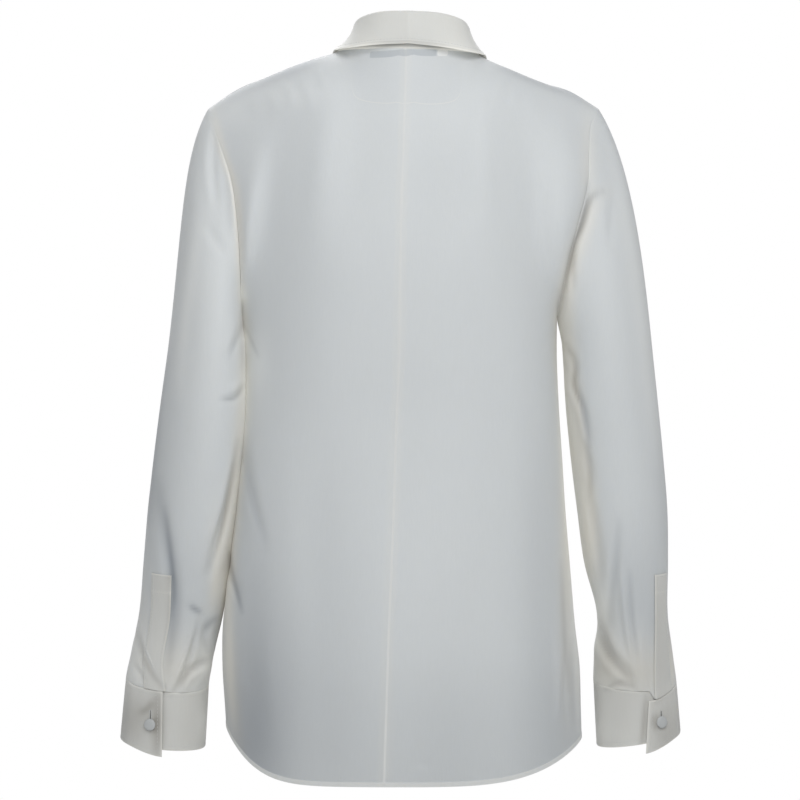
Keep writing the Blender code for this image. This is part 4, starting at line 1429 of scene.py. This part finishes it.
def make_sleeve(side):
    name = SIDE_NAMES[side]
    around = np.arange(SLEEVE_COLUMNS) / SLEEVE_COLUMNS * 2
    points = sleeve_grid(side, around)
    if side == LEFT:
        points = points[:, ::-1]
        around = around[::-1]
    normals = grid_normals(points, closed=True)
    free = smooth(edge_distances(points, closed=True).top / 0.004)
    points = press_folds(points, normals, SLEEVE_CREASES[side], FRONT_SLEEVE_CREASES[side], free)
    normals = grid_normals(points, closed=True)
    top = edge_distances(points, closed=True).top
    under = np.minimum(around, 2 - around)[None, :] * run_lengths(points, 1)[:, -1:] / 2
    groove = np.exp(-(np.minimum(top, under) / SEAM_WIDTH) ** 2)
    points = points - normals * (SEAM_GROOVE * groove)[..., None]
    # Painted shade and painted light from the tints, and the doubled seam at the armhole.
    masks = {**tints(points, normals), "doubled": 0.12 * smooth((0.0022 - top) / 0.001)}
    piece = shell("sleeve_%s_cloth" % name, points, bpy.context.scene.blouse_cloth.layer,
                  finish_for("silk", silk), closed=True, masks=masks)
    sewn_in("sleeve_" + name)


def make_placket(side):
    """The strip that binds the sleeve's opening above the cuff."""
    name = SIDE_NAMES[side]
    strip = PLACKETS[side]
    rise = graded(PLACKET_LENGTH, 0.002, EDGE_ROWS, EDGE_ROWS)[:, None]
    around = np.linspace(strip.first, strip.last, 17) + strip.lean * rise
    z = CUFF_SEAM_LEVEL + 0.0005 + PLACKET_LENGTH * rise
    points = sleeve_tube(side, *np.broadcast_arrays(around, z))
    if side == LEFT:
        points = points[:, ::-1]
    normals = grid_normals(points)
    points = points + normals * (DOUBLE_WALL + 0.6 * SEAM_GAP)
    top = edge_distances(points).top
    points, near, thinning = edged(points, normals, PLACKET_BORDER)
    cross = np.exp(-((top - 0.0175) / 0.0009) ** 2)
    # Painted shade from the tints, a painted highlight along the strip's edges and a lighter line
    # across it between its bar stitches.
    masks = {**tints(points, normals),
             "edge": 0.5 * np.exp(-(near / 0.0012) ** 2) + 0.7 * cross}
    lines = [edge_line(points, edge, PLACKET_BORDER.inset) for edge in ("first", "last")]
    lines += [edge_line(points, "top", down)[2:-2] for down in (PLACKET_BORDER.inset, *BAR_ROWS)]
    outward = unit(normals.reshape(-1, 3).sum(0))
    doubled_cloth("placket_" + name, points, bpy.context.scene.blouse_cloth.doubled - thinning,
                  masks, [(line, outward) for line in lines])


class BLOUSE_OT_sleeves(bpy.types.Operator):
    """Set in the two sleeves and bind their openings"""

    bl_idname = "blouse.sleeves"
    bl_label = "Sleeves"

    def execute(self, context):
        for side in (LEFT, RIGHT):
            make_sleeve(side)
            make_placket(side)
        return {"FINISHED"}


def border_rows(points, inset):
    """Lines all round a strip, a short way in from its edges."""
    rows = []
    for edge in ALL_ROUND:
        line = edge_line(points, edge, inset)
        run = run_lengths(line)
        rows.append((line[(run > inset) & (run < run[-1] - inset)], None))
    return rows


def make_cuff(side):
    """A cuff: one strip wrapped round the wrist, its buttoned end over the other."""
    name = SIDE_NAMES[side]
    turns = (360 + CUFF_OVERLAP) * graded(CUFF_RUN, DOUBLE_SPACING, EDGE_ROWS, EDGE_ROWS)
    downs = graded(CUFF_DEPTH, DOUBLE_SPACING, EDGE_ROWS, EDGE_ROWS)[::-1]
    turns, downs = np.broadcast_arrays(turns[None, :], downs[:, None])
    points = cuff_point(side, turns, downs, cuff_lap(turns))
    if side == LEFT:
        points = points[:, ::-1]
    normals = grid_normals(points)
    points, near, thinning = edged(points, normals, CUFF_BORDER)
    # Painted shade along the pulls and a painted highlight along the cuff's edges.
    masks = {**tints(points, normals, CUFF_STRIPS),
             "edge": 0.6 * np.exp(-(near / 0.0012) ** 2)}
    doubled_cloth("cuff_" + name, points,
                  bpy.context.scene.blouse_cloth.doubled + CUFF_EXTRA_WALL - thinning, masks,
                  border_rows(points, CUFF_BORDER.inset),
                  points.mean(axis=(0, 1))[:2])


class BLOUSE_OT_cuffs(bpy.types.Operator):
    """Wrap the two cuffs round the wrists"""

    bl_idname = "blouse.cuffs"
    bl_label = "Cuffs"

    def execute(self, context):
        for side in (LEFT, RIGHT):
            make_cuff(side)
        return {"FINISHED"}


# ---- the collar's pieces ----
def collar_layer(node, points, border):
    """A doubled piece of the collar with rounded edges and a row of stitches."""
    normals = grid_normals(points)
    points = points + normals * (COLLAR_WALL / 2)
    points, near, thinning = edged(points, normals, border)
    # Painted highlight along the edges, a painted shade line just inside them, and painted light on
    # the collar's back away from the middle, stronger near its edges.
    aside = smooth((np.abs(points[..., 0] - NECK_CENTRE) - 0.015) / 0.035)
    behind = smooth(points[..., 1] / 0.03 + 1)
    masks = {"edge": 0.6 * np.exp(-(near / 0.0013) ** 2),
             "painted_shade": 0.35 * behind * np.exp(-((near - 0.0021) / 0.0007) ** 2),
             "lit": aside * behind * (0.34 + 0.5 * np.exp(-(near / 0.004) ** 2))}
    rows = [(edge_line(points, edge, border.inset), None) for edge in border.edges]
    doubled_cloth(node, points, COLLAR_WALL - thinning, masks, rows,
                  (NECK_CENTRE, NECK_SIDE_Y))


class BLOUSE_OT_collar(bpy.types.Operator):
    """Stand the collar round the neck and turn its fall down"""

    bl_idname = "blouse.collar"
    bl_label = "Collar"

    def execute(self, context):
        end = 180 + BAND_TURN
        turns = np.linspace(end, -end, 200)[None, :]
        ups = graded(STAND_RUN, DOUBLE_SPACING, EDGE_ROWS, EDGE_ROWS)[:, None]
        collar_layer("collar_stand", stand_point(*np.broadcast_arrays(turns, ups)), STAND_BORDER)
        end = 180 - BAND_TURN
        turns = np.linspace(end, -end, 220)[None, :]
        fall = 1 - graded(FALL_RUN, DOUBLE_SPACING, FALL_ROWS)
        roll = -graded(0.008, 0.0009)[1:]
        downs = np.concatenate([fall, roll])[:, None]
        collar_layer("collar_fall", fall_point(*np.broadcast_arrays(turns, downs)), FALL_BORDER)
        return {"FINISHED"}


# ---- stitches and buttons ----
# Places along a stitch, and there its height over the cloth and its width in threads.
STITCH_SECTIONS = ((0.0, -0.6, 0.35), (0.2, 0.3, 1.0), (0.8, 0.3, 1.0), (1.0, -0.6, 0.35))


def add_stitch(points, faces, start, end, out):
    """One stitch: a short round bar of thread whose ends dip into the cloth."""
    thread = bpy.context.scene.blouse_cloth.thread
    along = unit(end - start)
    out = unit(out - along * out.dot(along))
    across = np.cross(along, out)
    first = len(points)
    for share, lift, width in STITCH_SECTIONS:
        centre = mixed(start, end, share) + out * thread * lift
        for angle in np.radians(np.arange(6) * 60):
            points.append(centre + (out * math.sin(angle) + across * math.cos(angle))
                          * thread * width)
    for section in range(3):
        for k in range(6):
            a, b = first + section * 6 + k, first + section * 6 + (k + 1) % 6
            faces.append((a, a + 6, b + 6, b))
    for cap, flip in ((first, False), (first + 18, True)):
        for k in (1, 3):
            quad = (cap, cap + k, cap + k + 1, cap + k + 2)
            faces.append(quad[::-1] if flip else quad)


def sewn_thread(name, points, faces):
    piece = add_mesh(name, np.array(points), faces, finish_for("thread", thread_finish))
    return piece


def stitch_rows(name, lines, middle=None):
    """Rows of short stitches along lines of points that lie on the cloth."""
    stitch = bpy.context.scene.blouse_cloth.stitch
    points, faces = [], []
    for line, outward in lines:
        run = run_lengths(line)
        count = int(run[-1] / (stitch * STITCH_PITCH))
        for number in range(count):
            place = (number + 0.5) * run[-1] / count - stitch / 2
            start, end = along_line(line, run, np.array((place, place + stitch)))
            out = outward
            if outward is None:
                out = start[0] - middle[0], start[1] - middle[1], STITCH_RISE
            add_stitch(points, faces, start, end, np.array(out, float))
    return sewn_thread(name, points, faces)


def buttonhole(node, line, outward):
    """A slit with close stitches over both its edges."""
    run = run_lengths(line)
    across = unit(np.cross(line[-1] - line[0], outward))
    points, faces = [], []
    for middle in along_line(line, run, np.arange(0.0004, run[-1], 0.00055)):
        for way in (-1, 1):
            add_stitch(points, faces, middle + across * way * SLIT_HALF,
                       middle + across * way * 0.0015, outward)
    for middle in along_line(line, run, np.array((0.0002, run[-1] - 0.0002))):
        add_stitch(points, faces, middle - across * 0.0013, middle + across * 0.0013, outward)
    sewn_thread(node + "_hole_stitches", points, faces)
    width = SLIT_HALF * np.sin(math.pi * np.linspace(0.08, 0.92, len(line)))[:, None] ** 0.3
    slit = np.stack([line - across * width, line + across * width], axis=1) + outward * 0.0001
    if grid_normals(slit)[0, 0].dot(outward) < 0:
        slit = slit[:, ::-1]
    piece = shell(node + "_hole", slit, 0.00025, finish_for("hole", hole_finish))


# A button's half section: distances from its middle and heights over the cloth.
BUTTON_PROFILE = (
    (0.0001, 0.0002), (0.0035, 0.0001), (0.0050, 0.0005), (0.00555, 0.0009), (0.00575, 0.00135),
    (0.0056, 0.0018), (0.0052, 0.0022), (0.0045, 0.00252), (0.0036, 0.00275), (0.0026, 0.0029),
    (0.0014, 0.00298), (0.0001, 0.0030),
)


def make_button(node, seat, outward):
    """A covered button turned from its half section, seated on the cloth."""
    across = unit(np.cross(outward, (0.0, 0.0, 1.0)))
    up = np.cross(across, outward)
    angles = np.radians(np.arange(48) * 360 / 48)[None, :, None]
    radius, height = np.array(BUTTON_PROFILE).T[..., None, None]
    points = (seat + outward * SEAM_GAP + outward * height
              + radius * (across * np.cos(angles) + up * np.sin(angles)))
    index = np.arange(points[..., 0].size).reshape(points.shape[:2])
    piece = add_mesh(node + "_covered", points.reshape(-1, 3), quads(index, True)[:, ::-1],
                     finish_for("covered_button", button_finish))
    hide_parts(node)


class BLOUSE_OT_buttons(bpy.types.Operator):
    """Sew on the covered buttons"""

    bl_idname = "blouse.buttons"
    bl_label = "Covered buttons"

    def execute(self, context):
        for side in (LEFT, RIGHT):
            cuff = CUFFS[side]
            turn = np.array([cuff.seat_turn, cuff.seat_turn + 4.0, cuff.seat_turn])
            down = np.array([cuff.seat_down, cuff.seat_down, cuff.seat_down + 0.1])
            seat, beside, below = cuff_point(side, turn, down, cuff_lap(turn))
            outward = unit(np.cross(beside - seat, seat - below)) * -side
            node = "button_cuff_" + SIDE_NAMES[side]
            make_button(node, seat, outward)
            downs = cuff.seat_down + np.linspace(-0.23, 0.08, 9)
            turns = np.full_like(downs, cuff.seat_turn)
            buttonhole(node, cuff_point(side, turns, downs, cuff_lap(turns)), outward)
        turn = np.array([-180.0, -182.0, -180.0])
        seat, beside, above = stand_point(turn, np.array([0.5, 0.5, 0.7]))
        outward = unit(np.cross(beside - seat, above - seat))
        make_button("button_stand", seat + outward * DOUBLE_WALL / 2, outward)
        turns = -180.0 + np.linspace(-7.5, 6.0, 11)
        line = stand_point(turns, np.full_like(turns, 0.5)) + outward * DOUBLE_WALL / 2
        buttonhole("button_stand", line, outward)
        grid = upper_band()[0]
        middle = grid.shape[1] // 2
        outwards = grid_normals(grid)[:, middle]
        grid = grid[:, middle]
        for number in range(FRONT_BUTTONS):
            level = TOP_BUTTON_LEVEL - BUTTON_SPACING * number
            row = int(np.argmin(np.abs(grid[:, 2] - level)))
            node = "button_front_%d" % (number + 1)
            make_button(node, grid[row], outwards[row])
            column = grid[row - 4:row + 6]
            run = run_lengths(column)
            places = np.linspace(-0.0075, 0.0095, 11) + run[4]
            buttonhole(node, along_line(column, run, places), outwards[row])
        return {"FINISHED"}


# ---- inside the neck ----
def facing_depth(place):
    """Depth of the half-moon facing below the neck seam."""
    return FACING_DEPTH * (1 - 0.35 * (place / FACING_EDGE) ** 16)


def neck_patch(name, ends, depth_at, inset, wall, finish):
    """A patch behind the back neck, its top along the neck seam."""
    points, places = body_grid("back")
    share = 1 - 0.98 * np.linspace(0, 1, 17)
    lines = []
    for place in np.linspace(*ends, 41):
        column = np.array([along_line(row[::-1], places[::-1], place) for row in points[-40:]])
        up = run_lengths(column)
        lines.append(along_line(column, up, up[-1] - depth_at(place) * share))
    patch = np.stack(lines, axis=1)
    return shell(name, patch - grid_normals(patch) * inset, wall, finish)


class BLOUSE_OT_neck(bpy.types.Operator):
    """Line the back neck with its half-moon facing and sew in the blank label"""

    bl_idname = "blouse.neck"
    bl_label = "Neck inside"

    def execute(self, context):
        piece = neck_patch("back_neck_facing_cloth", (FACING_EDGE, -FACING_EDGE), facing_depth,
                           0.0022, 0.0005, finish_for("silk", silk))
        sewn_in("back_neck_facing")
        label = neck_patch("neck_label_woven", LABEL_ENDS, lambda place: LABEL_DEPTH,
                           0.0036, 0.0006, finish_for("label", label_finish))
        tab = neck_patch("size_tab_woven", TAB_ENDS, lambda place: LABEL_DEPTH,
                         0.0036, 0.0005, finish_for("tab", tab_finish))
        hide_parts("size_tab")
        sewn_in("neck_label")
        return {"FINISHED"}



# ---- stage ----
def soft_light(name, place, target, size, power):
    """A large soft light that faces a point."""
    light = bpy.data.lights.new(name, "AREA")
    light.shape = "RECTANGLE"
    light.size, light.size_y = size
    light.energy = power
    holder = bpy.data.objects.new(name, light)
    holder.location = place
    holder.rotation_euler = (Vector(target) - Vector(place)).to_track_quat("-Z", "Y").to_euler()
    bpy.context.scene.collection.objects.link(holder)


class BLOUSE_OT_stage(bpy.types.Operator):
    """Set up the pale floor, the soft lights and the camera"""

    bl_idname = "blouse.stage"
    bl_label = "Stage"

    def execute(self, context):
        stage = context.scene.blouse_stage
        angles = np.radians(np.arange(64) * 360 / 64)
        rim = np.stack([5.0 * np.cos(angles), 5.0 * np.sin(angles), 0 * angles], axis=-1)
        floor_mesh = bpy.data.meshes.new("floor")
        floor_mesh.from_pydata([tuple(p) for p in rim], [], [tuple(range(64))])
        floor_mesh.materials.append(finish_for("studio_floor", floor_finish))
        floor = bpy.data.objects.new("floor", floor_mesh)
        floor.location.z = stage.floor
        context.scene.collection.objects.link(floor)

        world = bpy.data.worlds.new("studio")
        context.scene.world = world
        studio = Nodes(world)
        soft = studio.node("ShaderNodeBackground", {},
                           {"Color": (0.96, 0.98, 1.0, 1.0), "Strength": stage.surround})
        plain = studio.node("ShaderNodeBackground", {},
                            {"Color": (1.0, 1.0, 1.0, 1.0), "Strength": 1.0})
        seen = studio.node("ShaderNodeLightPath", output="Is Camera Ray")
        both = studio.node("ShaderNodeMixShader", {}, {0: seen, 1: soft, 2: plain})
        studio.put(studio.tree.nodes["World Output"].inputs["Surface"], both)

        for way, share in ((1, 1.0), (-1, 1.1)):
            soft_light("key", (-0.40 * way, 1.5 * way, 1.15), (0.0, 0.0, -0.2), (1.3, 1.0),
                       stage.key * share)
            soft_light("fill", (0.0, 2.2 * way, 0.3), (0.0, 0.0, -0.3), (1.4, 0.7),
                       stage.fill * share)

        camera = bpy.data.cameras.new("camera")
        camera.lens = stage.lens
        camera.sensor_width = 36.0
        camera.clip_end = 50.0
        holder = bpy.data.objects.new("camera", camera)
        holder.location = (0.0, stage.distance, stage.height)
        holder.rotation_euler = (math.pi / 2, 0.0, math.pi)
        context.scene.collection.objects.link(holder)
        context.scene.camera = holder
        context.scene.view_settings.view_transform = "Standard"
        return {"FINISHED"}


# ---- add-on ----
OPERATORS = (
    BLOUSE_OT_body,
    BLOUSE_OT_bands,
    BLOUSE_OT_sleeves,
    BLOUSE_OT_cuffs,
    BLOUSE_OT_collar,
    BLOUSE_OT_buttons,
    BLOUSE_OT_neck,
    BLOUSE_OT_stage,
)
SETTINGS = {"blouse_cloth": BlouseCloth, "blouse_colours": BlouseColours,
            "blouse_stage": BlouseStage}


class BLOUSE_PT_panel(bpy.types.Panel):
    """The blouse's settings and its pieces in making order"""

    bl_idname = "BLOUSE_PT_panel"
    bl_label = "Silk blouse"
    bl_space_type = "VIEW_3D"
    bl_region_type = "UI"
    bl_category = "Blouse"

    def draw(self, context):
        for name, group in SETTINGS.items():
            for setting in group.__annotations__:
                self.layout.prop(getattr(context.scene, name), setting)
        for operator in OPERATORS:
            self.layout.operator(operator.bl_idname)


def register():
    for group in (*SETTINGS.values(), *OPERATORS, BLOUSE_PT_panel):
        bpy.utils.register_class(group)
    for name, group in SETTINGS.items():
        setattr(bpy.types.Scene, name, PointerProperty(type=group))


def unregister():
    for name in SETTINGS:
        delattr(bpy.types.Scene, name)
    for group in (BLOUSE_PT_panel, *OPERATORS, *SETTINGS.values()):
        bpy.utils.unregister_class(group)


def main():
    register()
    for operator in OPERATORS:
        group, name = operator.bl_idname.split(".")
        getattr(getattr(bpy.ops, group), name)()


if __name__ == "__main__":
    main()
